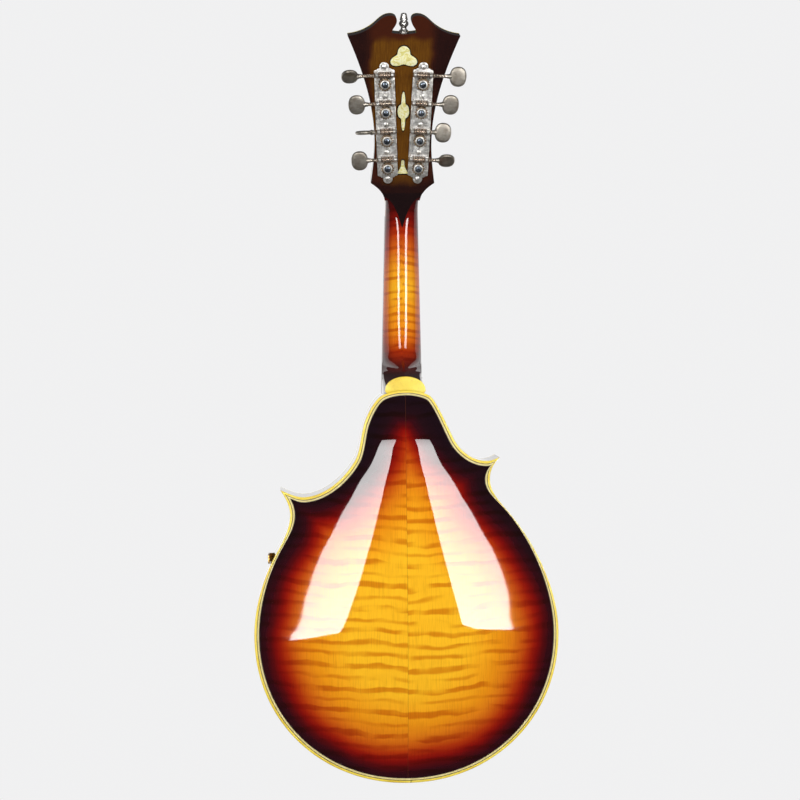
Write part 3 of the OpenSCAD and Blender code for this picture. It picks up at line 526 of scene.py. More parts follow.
def head_back():
    look = Look("head_back_lacquer", **LACQUER)
    x, _, z = look.place()
    shake = (look.noise(x, 0.0, z, scale=0.05) - 0.5) * 12.0
    across = abs(x + 2.0) + shake
    foot = (z + shake).span(17.0, 29.0)
    glow = (z.span(75.0, 30.0) * 9.0 + across).span(27.0, 20.5) * (z + shake).span(136.0, 129.0) * foot
    grain = look.noise(x * 1.4, 0.0, z * 0.09, detail=4.0, rough=0.65)
    fleck = look.noise(x, 0.0, z, scale=1.6)
    amber = look.ramp(grain, [(0.3, (82, 46, 10)), (0.55, (106, 66, 14)), (0.8, (124, 82, 22))])
    flecked = look.mix(fleck.span(0.5, 0.7) * 0.4, amber, (66, 38, 10))
    rim_colour = look.ramp(grain, [(0.3, (28, 12, 13)), (0.7, (44, 18, 13))])
    below = look.mix(foot, rim_colour, look.mix(across.span(32.0, 20.0), rim_colour, (66, 27, 13)))
    return look.set(Base_Color=look.mix(glow, below, flecked))


def aged_binding():
    look = Look("aged_binding", Roughness=0.32, Specular_IOR_Level=0.5, Coat_Weight=0.8, Coat_Roughness=0.08,
                Subsurface_Weight=0.06, Subsurface_Scale=0.002)
    x, y, z = look.place()
    stain = look.noise(x, y, z, scale=0.045, detail=3.0)
    fine = look.noise(x, y, z, scale=0.9)
    base = look.ramp(stain, [(0.3, (226, 194, 54)), (0.5, (244, 216, 74)), (0.72, (250, 228, 98))])
    grimy = look.mix(fine.span(0.55, 0.8) * 0.3, base, (150, 112, 40))
    butt_joint = (z < -466.0) * (abs(x - 2.4) < 0.25)
    jointed = look.mix(butt_joint, grimy, (70, 44, 22))
    return look.set(Base_Color=jointed, Normal=look.bump(fine, 0.00005, 0.4))


def mottled(name, stops, scale, detail=3.0, distortion=0.0, **constants):
    """A plain material whose colour drifts through a ramp."""
    look = Look(name, **constants)
    cloud = look.noise(*look.place(), scale=scale, detail=detail, distortion=distortion)
    return look.set(Base_Color=look.ramp(cloud, stops))


def plain_line(name, colour, other):
    return mottled(name, [(0.3, colour), (0.7, other)], 0.3, Roughness=0.35, Specular_IOR_Level=0.45,
                   Coat_Weight=0.9, Coat_Roughness=0.04)


def worn_metal(name, bright, dull, tarnish_and_shade, amount, rough=0.28, scale=0.35):
    """Plated metal with rubbed, scratched and tarnished patches, and painted shade darkening its crevices.
    """
    look = Look(name, Metallic=0.88)
    x, y, z = look.place()
    cloud = look.noise(x, y, z, scale=scale, detail=4.0, rough=0.6)
    grit = look.noise(x, y, z, scale=3.2, detail=3.0, rough=0.7)
    scratch = look.noise(x * 0.8, y, z * 7.0)
    # painted shade: crevices found by ambient occlusion are darkened towards the dark colour, together with
    # small random grit spots of tarnish
    crevice = look.node("AmbientOcclusion", {"Distance": 0.0022}, out=1, samples=8)
    crevice_shade_and_grit = look.math("MAXIMUM", crevice.span(0.80, 0.25) * amount, grit.span(0.64, 0.78) * (amount * 0.12))
    return look.set(
        Base_Color=look.mix(crevice_shade_and_grit, look.mix(cloud.span(0.35, 0.65), bright, dull), tarnish_and_shade),
        Roughness=(crevice_shade_and_grit * 0.3 + (cloud * 0.22 + (rough - 0.08))).clamped(),
        Normal=look.bump(scratch * 0.6 + grit * 0.4, 0.00002, 0.05))


def grained(name, stretch, detail, rough, stops, distance, strength, **constants):
    """Unlacquered wood with long pores."""
    look = Look(name, **constants)
    x, y, z = look.place()
    grain = look.noise(x * stretch[0], y * stretch[0], z * stretch[1], detail=detail, rough=rough)
    return look.set(Base_Color=look.ramp(grain, stops), Normal=look.bump(grain, distance, strength))


def wound_wire():
    look = Look("bronze_winding", Metallic=1.0, Roughness=0.32)
    x, y, z = look.place()
    ridges = look.waves(0.0, 0.0, z, 1.25, "Z")
    grime = look.noise(x, y, z, scale=0.06, detail=3.0)
    colour = look.ramp(grime, [(0.3, (150, 106, 66)), (0.7, (206, 160, 104))])
    return look.set(Base_Color=colour, Normal=look.bump(ridges, 0.0001, 0.8))


BACK, TOP, NECK_WOOD = maple_back(), spruce_top(), maple_neck()
RIBS = dark_lacquer("rib_lacquer", (62, 14, 12), (30, 8, 10))
BLACK = dark_lacquer("black_lacquer", (30, 16, 15), (14, 9, 10))
HEAD_LACQUER, BINDING = head_back(), aged_binding()
LINE_DARK = plain_line("dark_line", (30, 16, 16), (52, 28, 22))
LINE_CREAM = plain_line("cream_line", (206, 190, 122), (226, 212, 150))
NICKEL = worn_metal("worn_nickel", (236, 234, 230), (186, 182, 176), (50, 30, 18), 1.0)
GEAR_METAL = worn_metal("tarnished_gear", (150, 134, 112), (104, 84, 62), (40, 24, 16), 1.0, 0.34)
BUTTON_METAL = worn_metal("button_nickel", (178, 171, 160), (140, 132, 121), (96, 76, 58), 0.35, 0.36, 0.12)
SCREW_METAL = worn_metal("dark_screw", (112, 120, 130), (78, 84, 92), (30, 24, 22), 0.8, 0.22)
SHAFT_METAL = worn_metal("warm_nickel", (226, 212, 196), (176, 154, 134), (72, 40, 22), 1.0, 0.2)
BRASS = worn_metal("aged_brass", (214, 172, 92), (176, 132, 66), (84, 52, 24), 0.7, 0.28)
FRET_METAL = worn_metal("fret_metal", (214, 210, 200), (190, 186, 176), (96, 84, 66), 0.5, 0.2)
STEEL = worn_metal("plain_steel", (205, 205, 205), (180, 180, 180), (110, 100, 90), 0.3, 0.2)
PEARL = mottled("pearl_shell", [
    (0.25, (206, 190, 108)), (0.42, (236, 228, 150)), (0.52, (248, 246, 214)), (0.60, (228, 222, 136)),
    (0.8, (216, 200, 112))], 0.16, distortion=2.5, Roughness=0.2, Specular_IOR_Level=0.6, Coat_Weight=1.0,
    Coat_Roughness=0.03)
EBONY = grained("ebony", (3.0, 0.25), 4.0, 0.7, [(0.3, (20, 15, 13)), (0.7, (46, 34, 28))], 0.00008, 0.6,
                Roughness=0.42, Specular_IOR_Level=0.45)
INNER = grained("inner_wood", (1.2, 0.06), 3.0, 0.5, [(0.3, (196, 160, 112)), (0.7, (224, 196, 150))],
                0.0001, 0.5, Roughness=0.75)
BONE = mottled("bone", [(0.3, (224, 210, 176)), (0.7, (240, 230, 204))], 0.5, Roughness=0.3, Coat_Weight=0.3,
               Subsurface_Weight=0.1, Subsurface_Scale=0.002)
WOUND = wound_wire()
GUARD = mottled("tortoise_plate", [
    (0.35, (24, 10, 10)), (0.52, (56, 20, 12)), (0.62, (112, 48, 16)), (0.75, (38, 14, 12))], 0.09,
    distortion=1.4, Roughness=0.25, Coat_Weight=0.8, Coat_Roughness=0.05)

# ------------------------------------------------------------------ body outline
# each knot: place, inward direction, handle back, handle on
BASS_KNOTS = (
    ((0, -472.5), (0, 1), (-72, 0), (72, 0)),
    ((125, -350), (-1, 0), (0, -69), (0, 33)),
    ((88, -255), (-0.78, 0.62), (20, -25), (-10, 12.5)),
    ((69, -224), (-1, -0.02), (0.3, -11), (-0.2, 9)),
    ((77.2, -205.2), (-1.75, -1.54), (-4.2, -4.6), (-3.4, -1.6)),
    ((66.5, -208.4), (0, -1), (3.6, 0), (-11, 0)),
    ((39.5, -190), (-0.88, -0.48), (5.4, -10.5), (-4.8, 9.4)),
    ((20, -154.4), (-0.55, -0.84), (5.6, -4.4), (-4.6, 2.8)),
    ((0, -149.8), (0, -1), (7, 0), (-7, 0)),
)
TREBLE_KNOTS = (
    ((0, -472.5), (0, 1), (72, 0), (-72, 0)),
    ((-125, -350), (1, 0), (0, -69), (0, 26)),
    ((-105, -280), (0.87, 0.5), (-10.5, -18), (5, 9)),
    ((-95, -251), (1, 0.02), (0, -10), (0, 8.5)),
    ((-102.9, -230.6), (1.95, -1.66), (3.4, -4.9), (4.9, -1.9)),
    ((-84, -236.6), (0, -1), (-7, 0), (15.5, 0)),
    ((-41.5, -207), (0.86, -0.5), (-10, -17), (4.3, 7.4)),
    ((-34, -177.5), (0.93, -0.36), (-2.6, -8.5), (3, 9.2)),
    ((-20, -154.4), (0.55, -0.84), (-6, -4.6), (4.6, 2.8)),
    ((0, -149.8), (0, -1), (-7, 0), (7, 0)),
)
BASS_STEPS = (60, 44, 16, 18, 14, 26, 20, 14)
TREBLE_STEPS = (60, 38, 16, 18, 16, 34, 16, 16, 14)
BASS_TIP, TREBLE_TIP = sum(BASS_STEPS[:4]), sum(TREBLE_STEPS[:4])


def bezier(a, b, c, d, t):
    """The place at t on a cubic curve; b and c are its handles."""
    return a * (1 - t) ** 3 + 3 * b * t * (1 - t) ** 2 + 3 * c * t * t * (1 - t) + d * t**3


def knot_chain(knots, steps, depth):
    """Points along the curve through the knots, moved inward by depth."""
    points = []
    for j, count in enumerate(steps):
        start, finish = knots[j], knots[j + 1]
        a = np.add(start[0], np.multiply(depth, start[1]))
        b = np.add(finish[0], np.multiply(depth, finish[1]))
        shrink = np.linalg.norm(b - a) / np.linalg.norm(np.subtract(finish[0], start[0]))
        c, d = a + shrink * np.array(start[3]), b + shrink * np.array(finish[2])
        points += [bezier(a, c, d, b, i / count) for i in range(count)]
    points.append(np.add(knots[-1][0], np.multiply(depth, knots[-1][1])))
    return [tuple(p) for p in points]


def bass_side(depth):
    return knot_chain(BASS_KNOTS, BASS_STEPS, depth)


def treble_side(depth):
    return knot_chain(TREBLE_KNOTS, TREBLE_STEPS, depth)


def rim(depth):
    return bass_side(depth) + treble_side(depth)[-2:0:-1]


def distance_to(loop, points):
    """Distance of each point to a closed line."""
    a = np.array(loop, float)
    b = np.roll(a, -1, axis=0)
    d = b - a
    p = np.array(points, float)[:, None, :]
    t = np.clip(((p - a) * d).sum(2) / np.maximum((d * d).sum(1), 1e-9), 0, 1)
    near = a + t[..., None] * d
    return np.sqrt(((p - near) ** 2).sum(2)).min(1)


def inside(loop, points):
    """Which points lie in a closed line."""
    a = np.array(loop, float)
    b = np.roll(a, -1, axis=0)
    p = np.array(points, float)
    x, z = p[:, :1], p[:, 1:]
    crosses = (a[:, 1] > z) != (b[:, 1] > z)
    rise = np.where(b[:, 1] == a[:, 1], 1e-9, b[:, 1] - a[:, 1])
    left = x < (b[:, 0] - a[:, 0]) * (z - a[:, 1]) / rise + a[:, 0]
    return ((crosses & left).sum(1) % 2) == 1


# ------------------------------------------------------------------ carved plates
PITCH = 3.0  # the plates' grid
ARCH_Z, ARCH_REACH = -345.0, 121.0
HEEL_TURN_LOW, HEEL_TURN_HIGH, HEEL_TURN = -198.0, -176.0, 0.5  # where the polish turns up to the heel
STEEPEST_AT, STEEPEST = 0.714, 1.594  # where the arch falls fastest, and how fast for a rise of 1
WIDTH_Z = (-345, -320, -300, -280, -262, -248, -236, -222, -208, -195, -180, -165, -152)
WIDTH_X = (119, 114.5, 108, 98, 86, 76, 65, 54, 42, 36, 30.5, 23, 16)
POLISH_WIDTH = (119, 115, 109, 101, 92, 85, 78, 70, 60, 53, 46, 40, 36)


def smooth_through(xs, ys, at):
    """A smooth curve through a table that makes no bumps of its own."""
    xs, ys = np.array(xs, float), np.array(ys, float)
    h, slope = np.diff(xs), np.diff(ys) / np.diff(xs)
    tangent = np.zeros_like(ys)
    w1, w2 = 2 * h[1:] + h[:-1], h[1:] + 2 * h[:-1]
    with np.errstate(divide="ignore", invalid="ignore"):
        inner = (w1 + w2) / (w1 / slope[:-1] + w2 / slope[1:])
    tangent[1:-1] = np.where(slope[:-1] * slope[1:] > 0, inner, 0)
    tangent[0], tangent[-1] = slope[0], slope[-1]
    at = np.clip(np.asarray(at, float), xs[0], xs[-1])
    k = np.clip(np.searchsorted(xs, at, "right") - 1, 0, len(h) - 1)
    t = (at - xs[k]) / h[k]
    return (
        ys[k] * (2 * t**3 - 3 * t**2 + 1)
        + ys[k + 1] * (3 * t**2 - 2 * t**3)
        + tangent[k] * h[k] * (t**3 - 2 * t**2 + t)
        + tangent[k + 1] * h[k] * (t**3 - t**2)
    )


def spread(x, z, widths, flattening):
    """How far out a place is on an arch: 0 at the crown, 1 at the arch's foot."""
    s = np.abs(z - ARCH_Z) / ARCH_REACH
    along = np.where(z < ARCH_Z, s * s, s * s / (1 + flattening * s))
    return np.sqrt((x / smooth_through(WIDTH_Z, widths, z)) ** 2 + along)


def arch(u):
    """The share of the full rise at a spread."""
    return np.where(u < 1, (1 - np.minimum(u, 1) ** 2.2) ** 1.6, 0)


def true_spread(x, z):
    return spread(x, z, WIDTH_X, 0.933)


def polish_spread(x, z):
    """The spread on the broader arch that the polished surface reflects."""
    return spread(x, z, POLISH_WIDTH, 1.7)


def slopes(field, x, z, step=0.02):
    """How fast a field changes along X and along Z."""
    return [(field(x + a, z + b) - field(x - a, z - b)) / (2 * step) for a, b in ((step, 0), (0, step))]


def polish_normals(x, z, rise, out):
    """Smooth normals of a polished plate. Past the steepest ring the surface keeps its lean."""
    fall = slopes(lambda a, b: rise * arch(polish_spread(a, b)), x, z)
    beyond = polish_spread(x, z) > STEEPEST_AT
    lean_x, lean_z = (
        np.where(beyond, -rise * STEEPEST * away, slope)
        for slope, away in zip(fall, slopes(polish_spread, x, z)))
    turn = np.clip((z - HEEL_TURN_LOW) / (HEEL_TURN_HIGH - HEEL_TURN_LOW), 0, 1)
    lean_z = lean_z - HEEL_TURN * turn * turn * (3 - 2 * turn)
    normal = np.stack([-lean_x, np.full(len(x), float(out)), -lean_z], 1)
    return normal / np.linalg.norm(normal, axis=1)[:, None]


def height(x, z, rise):
    u = true_spread(x, z)
    return rise * arch(u) - 0.5 * np.exp(-(((u - 0.93) / 0.035) ** 2))


def sound_hole():
    """The loops of one sound hole on the bass side: a slanted stem and two round eyes."""
    left, right = [], []
    for i in range(25):
        t = i / 24
        c = [bezier(*numbers, t) for numbers in ((46, 62, 50, 70), (-306, -316, -372, -388))]
        w = 1.4 + 2.4 * math.sin(math.pi * t)
        left.append((c[0] - w, c[1] - 0.3 * w))
        right.append((c[0] + w, c[1] + 0.3 * w))
    return [left + right[::-1], disc(42.6, -311.5, 4.4, 28), disc(73.6, -383, 5.6, 32)]


def fill(loop, holes, side):
    """Points and triangles that fill a loop round its holes, on a regular grid of one pitch."""
    grid = []
    for r in range(int(320 / (PITCH * 0.87))):
        shift = 0.5 * PITCH * (r % 2)
        row = [side * (0.6 * PITCH + shift + k * PITCH) for k in range(int(130 / PITCH))]
        grid += [(x, -470 + r * PITCH * 0.87) for x in row]
    grid = [g for g, keep in zip(grid, inside(loop, grid)) if keep]
    away = distance_to(loop, grid) > 0.45 * PITCH
    for hole in holes:
        away &= distance_to(hole, grid) > 0.3 * PITCH
        away &= ~inside(hole, grid)
    flat, edges = [], []
    for line in (loop, *holes):
        start, count = len(flat), len(line)
        flat += line
        edges += [(start + i, start + (i + 1) % count) for i in range(count)]
    flat += [g for g, keep in zip(grid, away) if keep]
    made = delaunay_2d_cdt([Vector(p) for p in flat], edges, [], 1, 1e-5)
    places = np.array([tuple(v) for v in made[0]], float)
    triangles = np.array([tuple(f) for f in made[2]], int)
    centres = places[triangles].mean(1)
    keep = inside(loop, centres)
    for hole in holes:
        keep &= ~inside(hole, centres)
    triangles = triangles[keep]
    used = np.unique(triangles)
    renumber = -np.ones(len(places), int)
    renumber[used] = np.arange(len(used))
    return places[used], renumber[triangles]


def half_plate(name, node, side, base_y, out, rise, holes, look, slot):
    """One carved half plate: a closed solid with the polish's normals on its faces."""
    outline = bass_side(PURFLING_IN) if side > 0 else treble_side(PURFLING_IN)
    low, high = outline[0][1], outline[-1][1]
    seam_steps = int((high - low) / PITCH)
    seam = [(0.0, high + (low - high) * k / seam_steps) for k in range(1, seam_steps)]
    places, triangles = fill(outline + seam, holes, side)
    x, z = places[:, 0], places[:, 1]
    outer = height(x, z, rise)
    inner = np.maximum(-PLATE_EDGE, outer - PLATE_THICK - arch(true_spread(x, z)))
    n = len(places)
    points = [(a, base_y + out * h, b) for a, h, b in zip(x, outer, z)]
    points += [(a, base_y + out * h, b) for a, h, b in zip(x, inner, z)]
    faces = [tuple(t) for t in triangles] + [tuple(i + n for i in t[::-1]) for t in triangles]
    directed = {(t[k], t[(k + 1) % 3]) for t in triangles for k in range(3)}
    walls = [(b, a, a + n, b + n) for a, b in directed if (b, a) not in directed]
    mesh = mesh_of(name, points, faces + walls)
    far = distance_to(rim(0), places)
    attribute = mesh.attributes.new("edge", "FLOAT", "POINT")
    attribute.data.foreach_set("value", np.concatenate([far, far]).astype(np.float32))
    normal = polish_normals(x, z, rise, out)
    corner = []
    for face in mesh.polygons:
        ids = list(face.vertices)
        if len(ids) == 4:
            corner += [tuple(face.normal)] * 4
        elif max(ids) < n:
            corner += [tuple(normal[i]) for i in ids]
        else:
            corner += [tuple(-normal[i - n]) for i in ids]
    mesh.shade_smooth()
    mesh.normals_split_custom_set(corner)
    finished(name, mesh, look, ROOT, slot, [node])


def mirrored(loops):
    return [[(-x, z) for x, z in loop] for loop in loops]


for plate_side, side_name in ((1, "bass"), (-1, "treble")):
    names = (f"back_half_{side_name}", f"back_plate_{side_name}")
    half_plate(*names, plate_side, BACK_Y, -1, BACK_RISE, [], BACK, "maple_back")
for plate_side, side_name, openings in ((1, "bass", sound_hole()), (-1, "treble", mirrored(sound_hole()))):
    names = (f"top_half_{side_name}", f"top_plate_{side_name}")
    half_plate(*names, plate_side, 0, 1, TOP_RISE, openings, TOP, "spruce_top")


# ------------------------------------------------------------------ ribs, binding, purfling
def swept(profile, side=None, start=0, stop=None):
    """A profile of (depth, y) pairs carried round the rim, or along a stretch of one side."""
    lines = []
    for depth, y in profile:
        line = rim(depth) if side is None else side(depth)[start:stop]
        lines.append([(x, y, z) for x, z in line])
    rows = [[line[i] for line in lines] for i in range(len(lines[0]))]
    return loft(rows, along=side is None)


RIB_LOW, RIB_HIGH = BACK_Y + BINDING_HIGH, -BINDING_HIGH
RIB_PROFILE = ((0, RIB_LOW), (0, RIB_HIGH), (RIB, RIB_HIGH), (RIB, RIB_LOW))
for rib_name, rib_side, rib_from, rib_to in (
    ("lower_bass_rib", bass_side, 0, BASS_TIP + 1),
    ("upper_bass_rib", bass_side, BASS_TIP, None),
    ("lower_treble_rib", treble_side, 0, TREBLE_TIP + 1),
    ("upper_treble_rib", treble_side, TREBLE_TIP, None),
):
    shell = Shell().add(swept(RIB_PROFILE, rib_side, rib_from, rib_to))
    build(rib_name + "_bent", shell, RIBS, ROOT, "maple_ribs", [rib_name])


def trim_profile(outward, edge_y):
    """The binding's section: its outer corner is scraped round."""
    angles = [math.pi / 2 * k / 6 for k in range(7)]
    corner = [(0.9 - 0.9 * math.sin(a), edge_y - outward * (0.9 - 0.9 * math.cos(a))) for a in angles]
    inner_y = edge_y - outward * BINDING_HIGH
    return [(RIB, inner_y), (RIB, edge_y)] + corner + [(0, inner_y)]


for trim_name, outward, edge_y in (("back", -1, BACK_Y), ("top", 1, 0.0)):
    shell = Shell().add(swept(trim_profile(outward, edge_y)))
    build(trim_name + "_binding_strip", shell, BINDING, ROOT, "binding", [trim_name + "_binding"])
    deep = edge_y - outward * PURFLING_DEEP
    lines = Shell()
    for start, stop, kind in ((RIB, 2.5, 0), (2.5, 3.85, 1), (3.85, PURFLING_IN, 0)):
        lines.add(swept(((start, deep), (start, edge_y), (stop, edge_y), (stop, deep))), kind=kind)
    colours = [LINE_DARK, LINE_CREAM]
    build(trim_name + "_purfling_lines", lines, colours, ROOT, "purfling", [trim_name + "_purfling"])

# ------------------------------------------------------------------ headstock outline
HEAD_KNOTS = (
    ((13.6, 0), (-1, 0), (0, 0), (-0.2, 16)),
    ((26.3, 27.0), (-1.09, 0.59), (-9.8, -6.5), (-1.7, 12)),
    ((23.4, 62), (-1, 0), (-0.2, -10), (0.3, 26)),
    ((45.5, 148.0), (-1.43, -0.87), (-15, -34), (-7.5, 0.7)),
    ((23.5, 157.4), (-0.66, -0.75), (6.5, -5.8), (-3.5, 3.2)),
    ((11.1, 164.3), (0, -1), (5.6, 0), (-3.4, 0)),
    ((5.9, 160.2), (0.9, -0.2), (0, 2.4), (0, -4.2)),
    ((10, 150.4), (0.6, -0.9), (0, 3.2), (0, 0)),
    ((0, 149.4), (0, -1), (4, 0), (0, 0)),
)
HEAD_STEPS = (14, 16, 22, 16, 12, 12, 12, 5)
PLATE_BACK_FROM = 18.5


def head_side(depth):
    return knot_chain(HEAD_KNOTS, HEAD_STEPS, depth)


def head_outline(depth, low=0.0):
    """The headstock's outline from a height up."""
    whole = head_side(depth)
    first = next(i for i, p in enumerate(whole) if p[1] > low + 0.01)
    side = whole[first:]
    if first:
        (x0, z0), (x1, z1) = whole[first - 1 : first + 1]
        side = [(x0 + (x1 - x0) * (low - z0) / (z1 - z0), low)] + side
    return side + [(-x, z) for x, z in side[-2::-1]]


def post_spots():
    """Post places in the headstock's own plane."""
    local = [(STRIP_X + z * math.sin(SPLAY), STRIP_Z + z * math.cos(SPLAY)) for z in POST_Z]
    return local + [(-x, z) for x, z in local]


# ------------------------------------------------------------------ neck
# stations down the neck: place, depth behind the fingerboard, roundness of the section
NECK_STATIONS = (
    (-157, 64, 6), (-150, 62, 4.5), (-143, 60, 2.3), (-138.5, 56, 1.25), (-134, 48, 0.95), (-131, 38, 0.95),
    (-128.5, 30, 1.25), (-125, 23.5, 1.7), (-120, 19, 1.9), (-112, 16.4, 1.95), (-100, 15.2, 2),
    (-80, 14.6, 2.05), (-50, 14, 2.1), (-20, 13.6, 2.2), (-8, 13.9, 2.5), (0, 14.7, 3.2), (5, 15.2, 4.2),
    (10, 15.4, 6), (14, 15.45, 7), (17, 15.45, 8))
NECK_Z, NECK_DEEP, NECK_POWER = zip(*NECK_STATIONS)
HEAD_HALF_Z, HEAD_HALF = (0, 5, 10, 14, 17), (NECK_HALF, 13.7, 14.1, 15.0, 16.3)
CAP_SEAT = BACK_Y + 2.8


def board_half(z):
    return NECK_HALF + NECK_FLARE * max(0.0, -z)


def neck_loft():
    stations = list(np.arange(17, -112, -1.5)) + list(np.arange(-112, -157.1, -0.75))
    rows = []
    for z in stations:
        half = board_half(z) if z <= 0 else float(smooth_through(HEAD_HALF_Z, HEAD_HALF, z))
        deep = float(smooth_through(NECK_Z, NECK_DEEP, z))
        power = 2 / float(smooth_through(NECK_Z, NECK_POWER, z))
        face = -max(0.0, z) * math.tan(HEAD_ANGLE - NECK_ANGLE)
        row = []
        for i in range(49):
            a = math.pi * i / 48
            c, s = math.cos(a), max(0.0, math.sin(a))
            x = half * math.copysign(abs(c) ** power, c)
            row.append(fit_neck(IN_NECK @ Vector((x, face - deep * s**power, z))))
        rows.append(row)
    return loft(rows)


def fit_neck(p):
    """Keeps the loft behind the headstock's veneers and on the seat of the heel cap."""
    local = IN_HEAD.inverted() @ p
    if local.z > 0.6:
        local.y = max(min(local.y, -FACE_VENEER), -HEAD_THICK)
    p = IN_HEAD @ local
    if p.z < -110:
        p.y = max(p.y, CAP_SEAT)
    return p


def placed(surface, matrix):
    return [tuple(matrix @ Vector(p)) for p in surface[0]], surface[1]


post_holes = [disc(x, z, POST_HOLE, 24) for x, z in post_spots()]
core = placed(slab(head_outline(0, 12), post_holes, -HEAD_THICK + BACK_VENEER, -FACE_VENEER), IN_HEAD)
tongue_outline = [(s * board_half(z), z) for s, z in ((1, -140), (-1, -140), (-1, -190), (1, -190))]
under_board = placed(slab(tongue_outline, [], -5, -0.01), IN_NECK)
whole_neck = combine(neck_loft(), [core, under_board], "UNION")
room_outline = [(x, PLATE_BACK_FROM + z) for x, z in ((-40, 0), (40, 0), (40, 20), (-40, 20))]
veneer_room = slab(room_outline, [], -HEAD_THICK - 3, -HEAD_THICK + BACK_VENEER)
whole_neck = combine(whole_neck, [placed(veneer_room, IN_HEAD)], "DIFFERENCE")
build("neck_wood", Shell().add(whole_neck), NECK_WOOD, ROOT, "maple_neck", ["neck"], smooth=28)


def lobes(cz, rx, rz, count, depth, phase, grow=0.0):
    """A lobed ornament round a centre on the middle line."""
    points = []
    for i in range(96):
        a = 2 * math.pi * i / 96
        r = 1 + depth * math.cos(count * (a - phase))
        points.append(((rx * r + grow) * math.cos(a), cz + (rz * r + grow) * math.sin(a)))
    return points


def pointed_foot(z0, w, h, grow=0.0):
    points = []
    for i in range(41):
        a = math.pi * i / 40
        x = w * math.cos(a) * (0.72 + 0.28 * math.cos(4 * a))
        z = z0 + h * math.sin(a) ** 1.4 * (1 + grow / h) - (grow if i in (0, 40) else 0)
        points.append((x * (1 + grow / w), z))
    return points


def ornaments(grow=0.0):
    return [
        lobes(130.3, 9.2, 7.4, 3, 0.3, math.pi / 2, grow),
        lobes(86.7, 3.6, 12.4, 4, 0.3, 0.0, grow),
        pointed_foot(34.8, 4.6, 11.5, grow),
    ]


def shrink(loop, share):
    """A loop drawn in towards its own middle."""
    cx = sum(p[0] for p in loop) / len(loop)
    cz = sum(p[1] for p in loop) / len(loop)
    return [(cx + (x - cx) * share, cz + (z - cz) * share) for x, z in loop]


back_low, back_high = -HEAD_THICK, -HEAD_THICK + BACK_VENEER
veneer = slab(head_outline(0, PLATE_BACK_FROM), post_holes + ornaments(1.0), back_low, back_high)
veneer_shell = Shell().add(veneer, IN_HEAD)
build("head_back_plate", veneer_shell, HEAD_LACQUER, ROOT, "black_veneer", ["head_back_veneer"])
surrounds, inlays = Shell(), Shell()
for big, small in zip(ornaments(0.98), ornaments(0.0)):
    surrounds.add(slab(big, [small], back_low + 0.02, back_high - 0.1, 0.0), IN_HEAD)
    inlays.add(slab(shrink(small, 0.995), [], back_low, back_low + 0.6, 0.05), IN_HEAD)
build("ornament_surrounds", surrounds, BLACK, ROOT, "black_veneer")
build("ornament_inlays", inlays, PEARL, ROOT, "pearl", ["head_back_inlays"])

front_holes = [disc(x, z, BUSHING_HOLE, 28) for x, z in post_spots()]
face = Shell().add(slab(head_outline(1.3, 0.6), front_holes, -FACE_VENEER, 0, 0.12), IN_HEAD)
build("head_face_plate", face, BLACK, ROOT, "black_veneer", ["head_face_veneer"])
refine("head_binding", BINDING, "binding", 0.12, 1)


angles = [math.pi * k / 48 for k in range(49)]
cap_arch = [(16.6 * math.cos(a), -150.6 + 12 * max(0.0, math.sin(a)) ** 0.85) for a in angles]
cap = [p for p, under in zip(cap_arch, inside(rim(0), cap_arch)) if not under]
neck_edge = sorted(p for p in rim(0) if p[1] > -152.5 and abs(p[0]) < 16.0)
heel_plate = Shell().add(slab(cap + neck_edge, [], BACK_Y, CAP_SEAT, 0.35, 3))
build("heel_cap_plate", heel_plate, BINDING, ROOT, "binding", ["heel_cap"])

# ------------------------------------------------------------------ fingerboard, frets, nut
for node, look, slot, edge in (
    ("fingerboard", EBONY, "ebony", 0.3), ("nut", BONE, "bone", 0.3),
    ("frets", FRET_METAL, "fret_wire", 0.18), ("position_inlays", PEARL, "pearl", 0.0),
):
    refine(node, look, slot, edge)

# ------------------------------------------------------------------ finial
FINIAL = (
    (0, 0), (3.7, 0), (4.1, 0.25), (4.1, 0.9), (3.6, 1.15), (3.5, 1.35), (3.75, 1.6), (3.6, 2.0), (2.7, 2.5),
    (2.35, 3.4), (2.3, 4.1), (2.6, 4.9), (3.3, 5.5), (3.85, 6.4), (3.95, 7.3), (3.75, 8.3), (3.1, 9.2),
    (2.75, 9.7), (2.8, 10.1), (3.3, 10.4), (3.35, 10.8), (3.1, 11.2), (2.85, 12.4), (2.5, 14.2), (2.3, 15.0),
    (1.9, 15.6), (1.1, 15.9), (0, 16.0))
turned = Shell().add(lathe(FINIAL, 56), IN_HEAD @ move(0, -7.4, 149.42))
build("finial_turned", turned, NICKEL, ROOT, "nickel", ["finial"], smooth=50)


# ------------------------------------------------------------------ tuner strips
def mirror_loop(half):
    """A loop with both symmetries from its points in the quarter of +X and +Z, middle line first."""
    right = half + [(x, -z) for x, z in half[-2::-1]]
    return right + [(-x, z) for x, z in right[-2:0:-1]]


def plate_outline():
    angles = [math.radians(degrees) for degrees in range(0, 101, 10)]
    ear = [(3.9 * math.sin(a), 46.2 + 3.9 * math.cos(a)) for a in angles]
    rest = [(4.1, 45.1), (4.9, 45.0), (5.5, 44.7), (5.8, 44.2), (6.4, 43.9), (7.2, 43.8), (7.9, 43.5),
            (8.3, 42.9), (8.3, 0.0)]
    return mirror_loop(ear + rest)


def scalloped_bed():
    """The small plate under a worm, with a notched edge above and below."""
    top = [(x / 10, 3.3 + 0.42 * math.cos(2 * math.pi * x / 34)) for x in range(66, -67, -3)]
    return top + [(x, -z) for x, z in top[::-1]]


